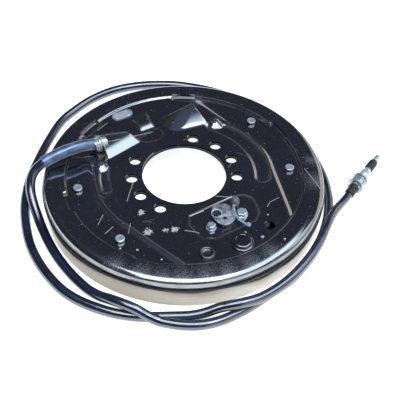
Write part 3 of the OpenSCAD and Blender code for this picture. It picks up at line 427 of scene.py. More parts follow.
def turned(points, sides=48, closed=False):
    # a turned body: a ring extruded and resized from point to point (radius, height) in mm. An open
    # outline gets flat ends, a closed one comes back to its start
    deselectAll()
    radius, height = points[0]
    bpy.ops.mesh.primitive_circle_add(vertices=sides, radius=radius * mm,
                                      fill_type="NOTHING" if closed else "NGON")
    obj = bpy.context.object
    bpy.ops.object.mode_set(mode="EDIT")
    bpy.ops.mesh.select_all(action="SELECT")
    bpy.ops.transform.translate(value=(0, 0, height * mm))
    for r, z in points[1:] + (points[:1] if closed else []):
        bpy.ops.mesh.extrude_edges_move(TRANSFORM_OT_translate={"value": (0, 0, (z - height) * mm)})
        bpy.ops.transform.resize(value=(r / radius, r / radius, 1))
        radius, height = r, z
    if closed:
        bpy.ops.mesh.select_all(action="SELECT")
        bpy.ops.mesh.remove_doubles(threshold=1e-7)
    else:
        bpy.ops.mesh.edge_face_add()
    bpy.ops.mesh.select_all(action="SELECT")
    bpy.ops.mesh.normals_make_consistent(inside=False)
    bpy.ops.object.mode_set(mode="OBJECT")
    return obj


def stood(obj, spot, axis=(0, 0, 1), turn=0.0):
    # the piece's mesh set at its spot (mm) with its height along the axis
    lean = Vector((0, 0, 1)).rotation_difference(Vector(axis)).to_matrix().to_4x4()
    spin = Matrix.Rotation(math.radians(turn), 4, "Z")
    obj.data.transform(Matrix.Translation(Vector(spot) * mm) @ lean @ spin)
    return obj


def joined(parts):
    # several meshes made one
    pickOnly(parts[0])
    for part in parts:
        part.select_set(True)
    if len(parts) > 1:
        bpy.ops.object.join()
    return parts[0]


def spread(obj, spots):
    # the piece at its first spot (mm) and a copy, with its own mesh, at each other one
    parts = [stood(obj, spots[0] + (0,))]
    for x, y in spots[1:]:
        twin = obj.copy()
        twin.data = obj.data.copy()
        scene.collection.objects.link(twin)
        parts.append(stood(twin, (x - spots[0][0], y - spots[0][1], 0)))
    return joined(parts)


def softened(obj, width, segments=2, angle=35):
    # a small round on every edge sharper than the angle
    pickOnly(obj)
    edge = obj.modifiers.new("edge", "BEVEL")
    edge.width = width * mm
    edge.segments = segments
    edge.limit_method = "ANGLE"
    edge.angle_limit = math.radians(angle)
    edge.harden_normals = False
    bpy.ops.object.modifier_apply(modifier="edge")
    return obj


# the bent steel tube that guides the cable off the plate, all in mm
tube = {"from": 78.6, "to": 146.0, "y": -89.0, "z": 11.0, "bow": 105.0, "radius": 7.4, "bore": 6.35}

cable = {
    "diameter": 12.0, "ribPitch": 2.6, "ribDepth": 0.28, "sides": 16,
    "slimRadius": 5.3, "slimRun": 160.0,  # the far end is drawn slimmer over this run
    "layZ": -33.0, "overZ": -20.4,  # height of the middle on the ground, and where it lies on itself
    "fitting": (-174.0, 110.0, -27.8), "fittingTurn": 205.0,
}


def cableRoute():
    # the laid path, the same points as the solid's, from the guide tube's mouth to the far fitting
    low, high = cable["layZ"], cable["overZ"]
    turn = math.radians(cable["fittingTurn"])
    far = Vector(cable["fitting"])
    back = Vector((math.cos(turn), math.sin(turn), 0)) * 8
    points = [
        (157, -88.5, 4.6), (165.5, -84, -3), (171, -75, -12), (174, -63, -20), (176, -48, -27),
        (178, -32, -31.6), (180, -12, low), (181, 10, low), (180, 32, low), (177, 55, low),
        (172, 76, low), (166, 95, -28.4), (158.5, 111, -22.4), (150, 124.5, high),
        (141, 136, -22.2), (132, 147, -28), (121, 158, low), (105, 172, low), (86, 183, low),
        (64, 189, low), (40, 190, low), (19, 188.5, low), (-4, 185, low), (-34, 181, low),
        (-60, 172, low), (-87, 159, low), (-113, 141, low), (-137, 118, low),
        (-157, 90, low), (-172, 56, low), (-181, 14, low), (-182, -30, low),
        (-175, -72, low), (-160, -110, low), (-138, -147, low), (-110, -177, low),
        (-84, -196, low), (-50, -212, low), (-15, -219.5, low), (20, -217, low),
        (50, -207.5, low), (78, -194, low), (108, -168, low), (137, -138, low),
        (162, -108, low), (182, -73, low), (196, -34, low), (202, -2, low), (202, 32, low),
        (196, 66, low), (184, 92, low), (166, 116, low), (148, 133, low), (129, 146, low),
        (110, 156.5, low), (92, 166, low), (76, 172.5, -31), (58, 178.5, -25.6),
        (40, 187, high - 0.4), (18, 192, high), (-4, 191.5, high), (-26, 187.5, high),
        (-48, 180.5, high), (-72, 170, high), (-95, 156.5, high), (-114, 143, high),
        (-133, 130, -22.6), (-152, 120, -26.4)]
    return [Vector(p) * mm for p in points] + [(far - back) * mm, far * mm]


def smoothLine(points, step, floor=None):
    # an even walk along a Catmull-Rom curve through the points, never lower than the floor
    fine = []
    for i in range(len(points) - 1):
        a, b = points[max(i - 1, 0)], points[i]
        c, d = points[i + 1], points[min(i + 2, len(points) - 1)]
        for k in range(24):
            t = k / 24
            fine.append(0.5 * (2 * b + (c - a) * t + (2 * a - 5 * b + 4 * c - d) * t * t
                               + (3 * b - a - 3 * c + d) * t ** 3))
    fine.append(points[-1])
    if floor is not None:
        for p in fine:
            p.z = max(p.z, floor * mm)
    lengths = [0.0]
    for p, q in zip(fine, fine[1:]):
        lengths.append(lengths[-1] + (q - p).length)
    total = lengths[-1]
    count = max(int(round(total / step)), 2)
    walk, j = [], 0
    for n in range(count + 1):
        want = total * n / count
        while j < len(lengths) - 2 and lengths[j + 1] < want:
            j += 1
        span = lengths[j + 1] - lengths[j] or 1.0
        walk.append(fine[j].lerp(fine[j + 1], (want - lengths[j]) / span))
    return walk, total


def tubeMesh(name, walk, radii, sides):
    # a closed tube along the walk, one ring per point, with its own u round and v along
    mesh = bpy.data.meshes.new(name)
    work = bmesh.new()
    uvLayer = work.loops.layers.uv.new("UVMap")
    rings, run = [], [0.0]
    side = None
    for i, p in enumerate(walk):
        t = (walk[min(i + 1, len(walk) - 1)] - walk[max(i - 1, 0)]).normalized()
        side = (t.orthogonal() if side is None else side - t * side.dot(t)).normalized()
        up = t.cross(side)
        if i:
            run.append(run[-1] + (p - walk[i - 1]).length)
        rings.append([work.verts.new(p + radii[i] * (math.cos(2 * math.pi * k / sides) * side
                                                     + math.sin(2 * math.pi * k / sides) * up))
                      for k in range(sides)])
    for i in range(len(rings) - 1):
        for k in range(sides):
            n = (k + 1) % sides
            face = work.faces.new((rings[i][k], rings[i][n], rings[i + 1][n], rings[i + 1][k]))
            face.smooth = True
            for loop, (u, v) in zip(face.loops, ((k, i), (k + 1, i), (k + 1, i + 1), (k, i + 1))):
                loop[uvLayer].uv = (u / sides, run[v])
    work.faces.new(list(reversed(rings[0])))
    work.faces.new(rings[-1])
    work.to_mesh(mesh)
    work.free()
    obj = bpy.data.objects.new(name, mesh)
    scene.collection.objects.link(obj)
    return obj


def makeCable():
    half = (tube["to"] - tube["from"]) / 2
    drop = math.sqrt(tube["bow"] ** 2 - half ** 2)
    route = []
    for x in (half - 9, half - 4.6, half):  # a short stretch inside the guide tube's mouth
        height = math.sqrt(tube["bow"] ** 2 - x ** 2) - drop + tube["z"]
        route.append(Vector((tube["from"] + half + x, tube["y"], height)) * mm)
    route += cableRoute()
    walk, total = smoothLine(route, cable["ribPitch"] / 2 * mm, cable["layZ"])
    radius = cable["diameter"] / 2
    slim = cable["slimRadius"] - radius
    slimFrom, slimRun = total - cable["slimRun"] * mm, cable["slimRun"] * mm
    radii = []
    for i in range(len(walk)):
        share = min(max((i / (len(walk) - 1) * total - slimFrom) / slimRun, 0), 1)
        radii.append((radius + slim * share - (cable["ribDepth"] if i % 2 else 0.0)) * mm)
    obj = tubeMesh("handBrakeCable", walk, radii, cable["sides"])
    obj.data.materials.append(jacket)
    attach(obj, "plate")
    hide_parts("cable_jacket")
    return obj, route, total


fitting = {
    # each piece's outline along the cable's end: radius and distance from the end (mm)
    "endSleeve": ([(5.0, 0), (5.7, 0.3), (6.2, 1.2), (6.2, 8.6), (5.8, 9.4), (5.8, 10.6), (6.5, 11.4),
                   (6.7, 12.2), (6.7, 15.2), (6.2, 16)], 40),
    "endBoot": ([(4.2, 55.6), (5.2, 55.8), (5.6, 56.6), (5.7, 58), (5.7, 69.6), (5.4, 71.2), (4.7, 72.4),
                 (3.9, 72.9), (3.1, 73)], 40),
    "endRod": ([(2.2, 46), (3.0, 46.4), (3.0, 73.4), (3.7, 73.8), (3.8, 74.4), (3.8, 76.4), (3.3, 76.9),
                (3.3, 78.4), (3.8, 78.9), (3.8, 83.6), (3.3, 84.7), (1.8, 85)], 32),
}


def threadWalk(start, end, root, crest, pitch):
    # outline of a screw thread's rings
    points, z = [], start
    while z + pitch < end:
        points += [(root, z), (root, z + 0.12 * pitch), (crest, z + 0.45 * pitch), (crest, z + 0.6 * pitch)]
        z += pitch
    return points + [(root, z)]


def hexNut(across, height, bore, start, washer=None):
    # a hexagon with its corners turned off at both ends, over its flange if it has one
    corner = across / math.sqrt(3)
    parts = [turned([(across * 0.47, start), (corner * 0.985, start + 0.5), (corner, start + 0.9),
                     (corner, start + height - 0.9), (corner * 0.985, start + height - 0.45),
                     (across * 0.47, start + height), (bore + 0.5, start + height),
                     (bore, start + height - 0.6), (bore, start + 0.2)], 6, closed=True)]
    softened(parts[0], 0.28, 2, 40)
    if washer:
        parts.append(turned([(bore, start - 2.4), (washer - 0.6, start - 2.5), (washer, start - 2.1),
                             (washer, start - 1.0), (washer - 0.5, start - 0.5),
                             (across * 0.52, start + 0.35), (bore, start + 0.35)], 56, closed=True))
    return joined(parts)


def makeFitting():
    turn = math.radians(cable["fittingTurn"])
    axis = (math.cos(turn), math.sin(turn), 0)
    spot = cable["fitting"]
    made = []
    finishes = {"endSleeve": (rubber, "end_sleeve", "plate"), "endBoot": (rubber, "end_boot", "plate"),
                "endRod": (zinc, "end_rod", "far_rod")}
    for name, (outline, sides) in fitting.items():
        mat, node, body = finishes[name]
        made.append(settle(stood(turned(outline, sides), spot, axis), name, mat, [node], 40, body))
    thread = turned([(5.2, 16.1), (5.6, 16.2)] + threadWalk(16.6, 44.4, 5.55, 6.2, 1.6)
                    + [(5.6, 45), (5.6, 48.4), (4.6, 49.0), (4.3, 49.6), (4.3, 57.6), (4.0, 58)], 40)
    made.append(settle(stood(thread, spot, axis), "threadedBody", zinc, ["threaded_body"], 30))
    ring = turned([(6.5, 31.6), (9.6, 31.5), (10.2, 31.9), (10.2, 33.5), (9.7, 34.0), (6.5, 34.0)], 56,
                  closed=True)
    nut = joined([hexNut(17.2, 11.0, 6.5, 20.2, 11.0), ring])
    made.append(settle(stood(nut, spot, axis, 14), "flangeNut", zinc, ["flange_nut"], 30))
    nut = hexNut(14.6, 10.0, 6.5, 36.4)
    made.append(settle(stood(nut, spot, axis, 33), "lockNut", zinc, ["lock_nut"], 30))
    return made


cableObj, route, cableLength = makeCable()
makeFitting()
print("cable laid,", round(cableLength, 3), "m")


plate = {
    "bore": 51.5, "sheet": 3.2, "segments": 450,
    # heights of the low floors and of the rim band, and the runs and bends between them
    "floor": -4.0, "lowFrom": 108.0, "fall": (8.2, 0.8, 0.5),
    "band": 2.0, "step": 144.0, "rise": (1.9, 0.3, 0.4),
    # outline of the rim outside the step: radius and height
    "rims": [(149, 2.0), (152, 1.99), (156, 1.94), (160, 1.82), (163, 1.6), (165, 1.25), (166.6, 0.75),
             (167.8, 0.15), (168.7, -0.4), (169.5, -0.95), (170.1, -1.6), (170.55, -2.4), (170.9, -3.3),
             (171.3, -4.6), (171.7, -5.9), (171.95, -6.9), (172, -7.5)],
    "flangeTop": -1.7, "flangeFrom": 170.2,
    # points under this height and so near a hole are its lower edge, faces so near it are its wall
    "underside": -2.2, "holeReach": 1.9, "holeBand": 0.6,
    # rings of the mesh: the first ones, the spacing over the face and the finer one at the step
    "rings": [52.1, 53.5, 56, 59], "spacing": 1.3, "fineSpacing": 0.72,
    "middle": [(98, 46), (58, 164), (-58, 164), (-98, 46), (-98, -45), (-86, -95), (-64, -162), (64, -162),
               (86, -95), (98, -45)],
    # curved channels: radii and angles, then depth, place, run and bend of their walls
    "channels": [((88, 104, 147, 217), 3.0, 1.5, 3.0, 0.8), ((91.5, 100.5, 149.5, 213), 1.0, 1.0, 1.6, 0.6),
                 ((93, 102, -34, -12), 2.2, 1.5, 3.0, 1.0)],
    # sunk places round the wheel cylinder and below the middle hump: outline, then the same
    "sunk": [([(30, 64), (-30, 62), (-44, 67), (-49, 76), (-47, 90), (-43, 100), (-33, 108), (22, 109),
               (36, 100), (38, 76)], 0.8, 1.0, 1.6, 0.6),
             ([(19, -86), (19.6, -80), (17.6, -75.6), (11.3, -70.2), (3, -68.6), (-3.5, -69.2), (-10, -71.8),
               (-13.5, -76), (-13, -88)], 0.5, 0.6, 1.2, 0.4)],
    # shoe pads: angle and radius of each, half their size, their height and the run and bend of their walls
    "pads": ((183, 142), (143.3, 139.5), (-120.3, 144), (-63.5, 144), (-9.5, 142), (43, 139.5)),
    "padHalf": (6.0, 15), "padDepth": -5.0, "padWall": (1.6, 0.6),
    # round knobs: place, foot, height, radius of the top, run and bend of the side, round at the foot
    "knobs": [(82, -61, -2.6, 6.0, 3, 9.0, 3.0, 1.5), (-82, -61, -2.6, 6.0, 3, 9.0, 3.0, 1.5),
              (-16.5, -133, -4, 3.2, 1.0, 2.6, 1.0, 0.6), (-23.5, -133, -4, 3.2, 1.0, 2.6, 1.0, 0.6)],
    "pinRadius": 130.5, "pinAngles": (-17.7, 25.6),
    "boltRadius": 64.5, "boltStart": -8, "boltStep": 27.8, "boltHole": 7.3,
    "smallHole": (-43, 122.5, 6.0), "chamfer": 0.6,
    # a bend this sharp (1/mm) shows the palest line, painted highlight with dust, measured over this reach
    "bendFull": 0.8, "bendReach": 0.5,
}

humps = [
    # the pressed humps over the cable: each plane rises from its foot line (mm) by its slope, meets the
    # others with its own round, and may flatten as it rises
    {"middle": (50, -90),
     "planes": [((70, -66), (19, -75.6), 0.62, 5, 0.0115), ((70, -117), (26, -101), 0.95, 6, 0),
                ((26, -101), (19, -75.6), 1.6, 3, 0), ((70, -66), (70, -117), 6.0, 1, 0)]},
    {"middle": (1, -102),
     "planes": [((-9.5, -91.2), (10.5, -91.2), 0.55, 1, 0), ((-9.5, -10), (10.5, -10), 0.042, 2.2, 0),
                ((-14, -122), (12, -122), 0.3, 3, 0), ((10.5, -91), (12, -122), 1.6, 1, 0),
                ((-9.5, -91), (-14, -122), 1.0, 1, 0)]},
    {"middle": (-55, -85),
     "planes": [((-28.6, -70.1), (-71, -62.8), 0.55, 3, 0.0055), ((-28, -104), (-73, -106), 1.3, 3, 0),
                ((-22, -104), (-20, -70), 0.42, 8, 0), ((-73, -62), (-73, -110), 3.0, 1, 0)]},
]


def soft(x, w):
    # 0 below -w, x above w, a round bend between
    return np.where(x < -w, 0.0, np.where(x > w, x, (x + w) ** 2 / (4 * w)))


def slope(d, run, bend, last=None):
    # 0 inside the edge, 1 beyond the run, with bends of that size at its start and its end
    return (soft(d, bend) - soft(d - run, last or bend)) / run


def polyDistance(x, y, points):
    # how far outside the outline each place lies, below 0 inside it
    best = np.full(x.shape, 1e9)
    inside = np.zeros(x.shape, bool)
    for i, (ax, ay) in enumerate(points):
        bx, by = points[(i + 1) % len(points)]
        dx, dy = bx - ax, by - ay
        t = np.clip(((x - ax) * dx + (y - ay) * dy) / (dx * dx + dy * dy), 0, 1)
        best = np.minimum(best, np.hypot(x - ax - t * dx, y - ay - t * dy))
        with np.errstate(divide="ignore", invalid="ignore"):
            cross = (ay > y) != (by > y)
            inside ^= cross & (x < (bx - ax) * (y - ay) / (by - ay if by != ay else 1e-9) + ax)
    return np.where(inside, -best, best)


def softMax(a, b, k):
    # the higher of two faces, with a round of that size where they meet
    h = np.maximum(k - np.abs(a - b), 0) / k
    return np.maximum(a, b) + h * h * k / 4


def trackDistance(x, y, r1, r2, a1, a2):
    # how far outside a curved slot with round ends each place lies, below 0 inside it
    r, a = np.hypot(x, y), np.degrees(np.arctan2(y, x))
    mid, half = (r1 + r2) / 2, (r2 - r1) / 2
    centre = (a1 + a2) / 2
    off = (a - centre + 180) % 360 - 180
    reach = (a2 - a1) / 2
    near = np.clip(off, -reach, reach) + centre
    px, py = mid * np.cos(np.radians(near)), mid * np.sin(np.radians(near))
    return np.where(np.abs(off) < reach, np.abs(r - mid), np.hypot(x - px, y - py)) - half


def humpHeight(x, y, hump):
    # the lowest of the hump's planes at each place, rounded where they meet
    mx, my = hump["middle"]
    top = None
    for (ax, ay), (bx, by), rise, turn, flat in hump["planes"]:
        length = math.hypot(bx - ax, by - ay)
        side = (bx - ax) * (my - ay) - (by - ay) * (mx - ax)
        d = ((bx - ax) * (y - ay) - (by - ay) * (x - ax)) / length * (1 if side > 0 else -1)
        high = rise * d - flat * np.clip(d, 0, 40) ** 2
        top = high if top is None else -softMax(-top, -high, turn)
    return top


def paired(radius, angles):
    # a spot (mm) at each angle on the right and its twin on the left
    turns = [math.radians(angle) for angle in angles]
    return [(sign * radius * math.cos(a), radius * math.sin(a)) for a in turns for sign in (1, -1)]


pinSpots = paired(plate["pinRadius"], plate["pinAngles"])
boltSpots = paired(plate["boltRadius"],
                   [plate["boltStart"] + k * plate["boltStep"] for k in (-1.5, -0.5, 0.5, 1.5)])


def relief(x, y):
    # height of the pressed face in mm over the place in mm
    r = np.hypot(x, y)
    middle = np.minimum(r - plate["lowFrom"], polyDistance(x, y, plate["middle"]))
    z = plate["floor"] * slope(middle, *plate["fall"])
    z = z + (plate["band"] - z) * slope(r - (plate["step"] - 1), *plate["rise"])
    for track, depth, place, run, bend in plate["channels"]:
        z = z - depth * (1 - slope(trackDistance(x, y, *track) + place, run, bend))
    for outline, depth, place, run, bend in plate["sunk"]:
        z = z - depth * (1 - slope(polyDistance(x, y, outline) + place, run, bend))
    run, bend = plate["padWall"]
    for angle, far in plate["pads"]:
        a = math.radians(angle)
        u, v = x * math.cos(a) + y * math.sin(a), -x * math.sin(a) + y * math.cos(a)
        d = np.maximum(np.abs(u - far) - plate["padHalf"][0], np.abs(v) - plate["padHalf"][1])
        share = 1 - slope(d + run / 2, run, bend)
        z = z * (1 - share) + plate["padDepth"] * share
    for kx, ky, foot, height, core, run, bend, turn in plate["knobs"]:
        z = softMax(z, foot + height * (1 - slope(np.hypot(x - kx, y - ky) - core, run, bend)), turn)
    for hump in humps:
        z = softMax(z, humpHeight(x, y, hump), 0.7)
    return z


def bendHighlightAndDust(x, y):
    # how sharply the face bends at each place, for the pale lines of painted highlight and dust along its
    # edges
    h = plate["bendReach"]
    right, left, up, down = relief(x + h, y), relief(x - h, y), relief(x, y + h), relief(x, y - h)
    turn = (right + left + up + down - 4 * relief(x, y)) / h ** 2 / plate["bendFull"]
    steep = np.hypot(right - left, up - down) / (2 * h)
    # raised edges get the full pale line, inner corners a weaker one and steep walls little: painted
    # highlight along the bends, partly dust and rubbed film
    return np.clip(np.maximum(-turn, 0.3 * turn), 0, 1) / (1 + 1.5 * steep ** 2)


def makePlate():
    # the pressed face: a ring extruded outward ring by ring, then each point set to its height
    step = plate["step"]
    radii = plate["rings"] + list(np.arange(61.5, step - 5, plate["spacing"]))
    radii += list(np.arange(step - 4.5, step + 4.2, plate["fineSpacing"]))
    deselectAll()
    bpy.ops.mesh.primitive_circle_add(vertices=plate["segments"], radius=plate["bore"] * mm,
                                      fill_type="NOTHING")
    obj = bpy.context.object
    bpy.ops.object.mode_set(mode="EDIT")
    bpy.ops.mesh.select_all(action="SELECT")
    last = plate["bore"]
    for r in radii + [p[0] for p in plate["rims"]]:
        bpy.ops.mesh.extrude_edges_move()
        bpy.ops.transform.resize(value=(r / last, r / last, 1))
        last = r
    bpy.ops.object.mode_set(mode="OBJECT")
    count = len(obj.data.vertices)
    co = np.empty(count * 3)
    obj.data.vertices.foreach_get("co", co)
    co = co.reshape(-1, 3)
    ring = np.arange(count) // plate["segments"]
    z = relief(co[:, 0] / mm, co[:, 1] / mm)
    z[ring == 0] -= plate["chamfer"]
    first = 1 + len(radii)
    for i, (r, height) in enumerate(plate["rims"]):
        z[ring == first + i] = height
    co[:, 2] = z * mm
    obj.data.vertices.foreach_set("co", co.ravel())
    # the pale lines of painted highlight and dust, kept for each point
    bends = obj.data.attributes.new("bends", "FLOAT", "POINT")
    share = bendHighlightAndDust(co[:, 0] / mm, co[:, 1] / mm)
    share[ring >= first] = 0
    bends.data.foreach_set("value", share.astype(np.float32))
    obj.data.update()
    bpy.ops.object.mode_set(mode="EDIT")
    bpy.ops.mesh.select_all(action="SELECT")
    bpy.ops.mesh.normals_make_consistent(inside=False)
    bpy.ops.object.mode_set(mode="OBJECT")
    if obj.data.polygons[0].normal.z < 0:
        obj.data.flip_normals()
    return obj


def punch(obj, x, y, radius, margin=2.6, sides=56):
    # one round hole: the mesh round it is taken out and filled again up to a true circle with a
    # small chamfer
    work = bmesh.new()
    work.from_mesh(obj.data)
    cx, cy = x * mm, y * mm
    gone = [f for f in work.faces
            if math.hypot(f.calc_center_median().x - cx,
                          f.calc_center_median().y - cy) < (radius + margin) * mm]
    bmesh.ops.delete(work, geom=gone, context="FACES")
    bmesh.ops.delete(work, geom=[v for v in work.verts if not v.link_faces], context="VERTS")
    edge = [e for e in work.edges if e.is_boundary
            and math.hypot(e.verts[0].co.x - cx, e.verts[0].co.y - cy) < (radius + margin + 4) * mm]
    level = sum(e.verts[0].co.z for e in edge) / len(edge)
    cut = plate["chamfer"] * mm
    rings = [[work.verts.new((cx + (radius * mm + grow) * math.cos(2 * math.pi * k / sides),
                              cy + (radius * mm + grow) * math.sin(2 * math.pi * k / sides),
                              level + grow - cut))
              for k in range(sides)] for grow in (cut, 0)]
    outer = [work.edges.new((rings[0][k], rings[0][(k + 1) % sides])) for k in range(sides)]
    made = bmesh.ops.triangle_fill(work, edges=edge + outer, use_beauty=True, normal=(0, 0, 1))
    faces = [f for f in made["geom"] if isinstance(f, bmesh.types.BMFace)]
    for k in range(sides):
        n = (k + 1) % sides
        faces.append(work.faces.new((rings[0][k], rings[1][k], rings[1][n], rings[0][n])))
    for f in faces:
        f.normal_update()
        if f.normal.z < 0:
            f.normal_flip()
    work.to_mesh(obj.data)
    work.free()


def thicken(obj):
    # the sheet gets its thickness, and the walls of the holes are set upright again
    holes = [(x, y, plate["boltHole"]) for x, y in boltSpots] + [plate["smallHole"], (0, 0, plate["bore"])]
    pickOnly(obj)
    wall = obj.modifiers.new("wall", "SOLIDIFY")
    wall.thickness = plate["sheet"] * mm
    wall.offset = -1
    bpy.ops.object.modifier_apply(modifier="wall")
    for v in obj.data.vertices:
        if v.co.z < plate["underside"] * mm:
            for x, y, radius in holes:
                dx, dy = v.co.x - x * mm, v.co.y - y * mm
                far = math.hypot(dx, dy)
                if abs(far - radius * mm) < plate["holeReach"] * mm and far > 0:
                    v.co.x, v.co.y = x * mm + dx / far * radius * mm, y * mm + dy / far * radius * mm
    obj.data.materials.clear()
    obj.data.materials.append(plateEnamel)
    obj.data.materials.append(holeWall)
    obj.data.materials.append(flangeSkin)
    for face in obj.data.polygons:
        if face.center.z < plate["flangeTop"] * mm and face.center.xy.length > plate["flangeFrom"] * mm:
            face.material_index = 2
        elif abs(face.normal.z) < 0.5:
            gaps = [math.hypot(face.center.x - x * mm, face.center.y - y * mm) - radius * mm
                    for x, y, radius in holes]
            if min(abs(gap) for gap in gaps) < plate["holeBand"] * mm:
                # the faces of the hole walls take the dull black, painted shade
                face.material_index = 1
    return obj


def makeBackPlate():
    obj = makePlate()
    for x, y in boltSpots:
        punch(obj, x, y, plate["boltHole"])
    punch(obj, *plate["smallHole"])
    return settle(thicken(obj), "backPlate", None, ["backing_plate"])


plateObj = makeBackPlate()
print("plate pressed,", len(plateObj.data.polygons), "faces")

ringBand = {
    # outline of the ring under the plate: its outer wall, the rolled top edge and the groove; the top edge
    # and the groove are dull black, painted shade along the seam
    "outline": [(170.2, -39), (171.3, -39), (171.6, -38.8), (171.65, -38.4), (171.7, -34), (171.9, -28),
                (172.3, -22), (172.8, -16), (173, -13), (173, -12.1), (172.85, -11.8), (172.5, -11.65),
                (170.9, -11.5), (170.7, -10.6), (170.7, -7.7), (170.2, -7.7)],
    "sides": 220, "shadeAbove": -12.3,
}


def makeRingBand():
    obj = turned(ringBand["outline"], ringBand["sides"], closed=True)
    obj = settle(obj, "drumRingBand", shellBand, ["drum_shroud"], 30)
    # painted shade: faces above that height, the rolled top edge and the groove, take dull black rubber
    obj.data.materials.append(rubber)
    for face in obj.data.polygons:
        if face.center.z > ringBand["shadeAbove"] * mm:
            face.material_index = 1


makeRingBand()
print("ring rolled")

pins = {
    # outlines (radius, height) of a hold-down pin, of the drawn seat that carries its head above the
    # low floor, and of the anchor pin, with the place of the last
    "pin": [(3.2, -37), (3.9, -36.7), (3.9, -36.1), (2.4, -35.8), (2.4, 0.9), (4.9, 1.0), (5.4, 1.2),
            (5.5, 1.7), (5.35, 2.1), (5.0, 2.35), (4.4, 2.45), (4.1, 2.35), (0.8, 2.4)],
    "seat": [(2.6, -4.9), (6.1, -4.9), (6.05, -4.1), (5.8, -3.9), (5.7, 0.5), (5.55, 0.75), (5.3, 0.85),
             (2.6, 0.85)],
    "anchor": [(8.6, -37), (9.0, -36.4), (9.0, -25.8), (11.0, -25.6), (11.0, -0.2), (12.9, -0.1),
               (13.2, 0.3), (13.2, 1.7), (12.9, 2.2), (12.2, 2.5), (11.4, 2.6), (11.1, 2.9), (11.05, 4.3),
               (10.8, 5.1), (10.2, 5.7), (9.3, 5.98), (8.2, 6.0), (7.8, 5.7), (3.0, 5.75)],
    "anchorSpot": (0, 130, 0),
}


def makePins():
    settle(spread(turned(pins["pin"], 36), pinSpots), "holdDownPins", zinc, ["hold_down_pins"], 30)
    settle(spread(turned(pins["seat"], 36, closed=True), pinSpots), "pinSeats", enamel, None, 30)
    settle(stood(turned(pins["anchor"], 64), pins["anchorSpot"]), "anchorPin", anchorPaint,
           ["anchor_pin"], 30)


makePins()

screws = {"spots": ((18, 92, 12, 9.6), (-24, 92, -12, 11.8))}


def makeScrews():
    parts = []
    for x, y, turn, across in screws["spots"]:
        corner = across / math.sqrt(3)
        head = turned([(corner * 0.96, -0.3), (corner, 0.2), (corner, 3.9), (corner * 0.95, 4.5),
                       (corner * 0.84, 4.85), (4.6, 4.9), (2.0, 4.8)], 6)
        softened(head, 0.4, 2, 40)
        flange = turned([(4.0, -11.8), (4.0, -0.8), (corner + 0.4, -0.8), (corner + 0.7, -0.5),
                         (corner + 0.6, -0.1), (4.5, 0.0)], 48)
        parts += [stood(head, (x, y, 0), turn=turn), stood(flange, (x, y, 0))]
    settle(joined(parts), "cylinderScrews", zinc, ["cylinder_bolts"], 30)


makeScrews()

boss = {
    # machined face round the pipe port: outline seen in plan, the port's cone seat and the small hole
    "outline": [(4, 69.5), (-3, 66), (-14, 71), (-19, 79), (-16, 90), (-11, 98), (1, 102), (8.5, 96),
                (11.6, 83.5)],
    "top": 3.9, "thick": 1.2, "port": (3.0, 79.5, 6.3), "hole": (-1.4, 90.2, 2.6),
}


def rounded(points, rounds):
    # corners cut again and again until they are round
    for _ in range(rounds):
        cut = []
        for i, (ax, ay) in enumerate(points):
            bx, by = points[(i + 1) % len(points)]
            cut += [(ax * 0.78 + bx * 0.22, ay * 0.78 + by * 0.22),
                    (ax * 0.22 + bx * 0.78, ay * 0.22 + by * 0.78)]
        points = cut
    return points


def makePortFace():
    loops = [rounded(boss["outline"], 3)]
    for x, y, radius in (boss["port"], boss["hole"]):
        loops.append([(x + radius * math.cos(2 * math.pi * k / 40),
                       y + radius * math.sin(2 * math.pi * k / 40))
                      for k in range(40)])
    work = bmesh.new()
    edges = []
    for loop in loops:
        ring = [work.verts.new((x * mm, y * mm, boss["top"] * mm)) for x, y in loop]
        edges += [work.edges.new((ring[k], ring[(k + 1) % len(ring)])) for k in range(len(ring))]
    bmesh.ops.triangle_fill(work, edges=edges, use_beauty=True, normal=(0, 0, 1))
    mesh = bpy.data.meshes.new("portFace")
    work.to_mesh(mesh)
    work.free()
    obj = bpy.data.objects.new("portFace", mesh)
    scene.collection.objects.link(obj)
    if mesh.polygons[0].normal.z < 0:
        mesh.flip_normals()
    pickOnly(obj)
    wall = obj.modifiers.new("wall", "SOLIDIFY")
    wall.thickness = boss["thick"] * mm
    wall.offset = -1
    bpy.ops.object.modifier_apply(modifier="wall")
    softened(obj, 0.45, 2, 50)
    x, y, radius = boss["port"]
    seat = turned([(radius + 0.1, 4.0), (radius + 0.1, 3.2), (radius, 1.4), (3.4, -1.4), (2.4, -1.4),
                   (2.4, -0.4), (2.7, 0.3), (5.3, 3.2), (5.8, 4.1), (6.2, 4.2)], 48, closed=True)
    # a dull black disc down in the port: painted shade inside the hole
    dark = turned([(3.1, -3.0), (3.1, -0.8), (1.0, -0.7)], 24)
    settle(obj, "portFace", castFace, None, 30)
    # the seat's near-white finish is a painted highlight
    settle(stood(seat, (x, y, 0)), "portSeat", portSeatPaintedHighlight, None, 30)
    settle(stood(dark, (x, y, 0)), "portShadeDisc", rubber, None, 30)


makePortFace()

bleeder = {"spot": (-22.5, 78.6, 0), "strapCentre": (-41, 100.6), "strapRadius": 29, "strapFrom": -49.5,
           "strapTurn": 82}


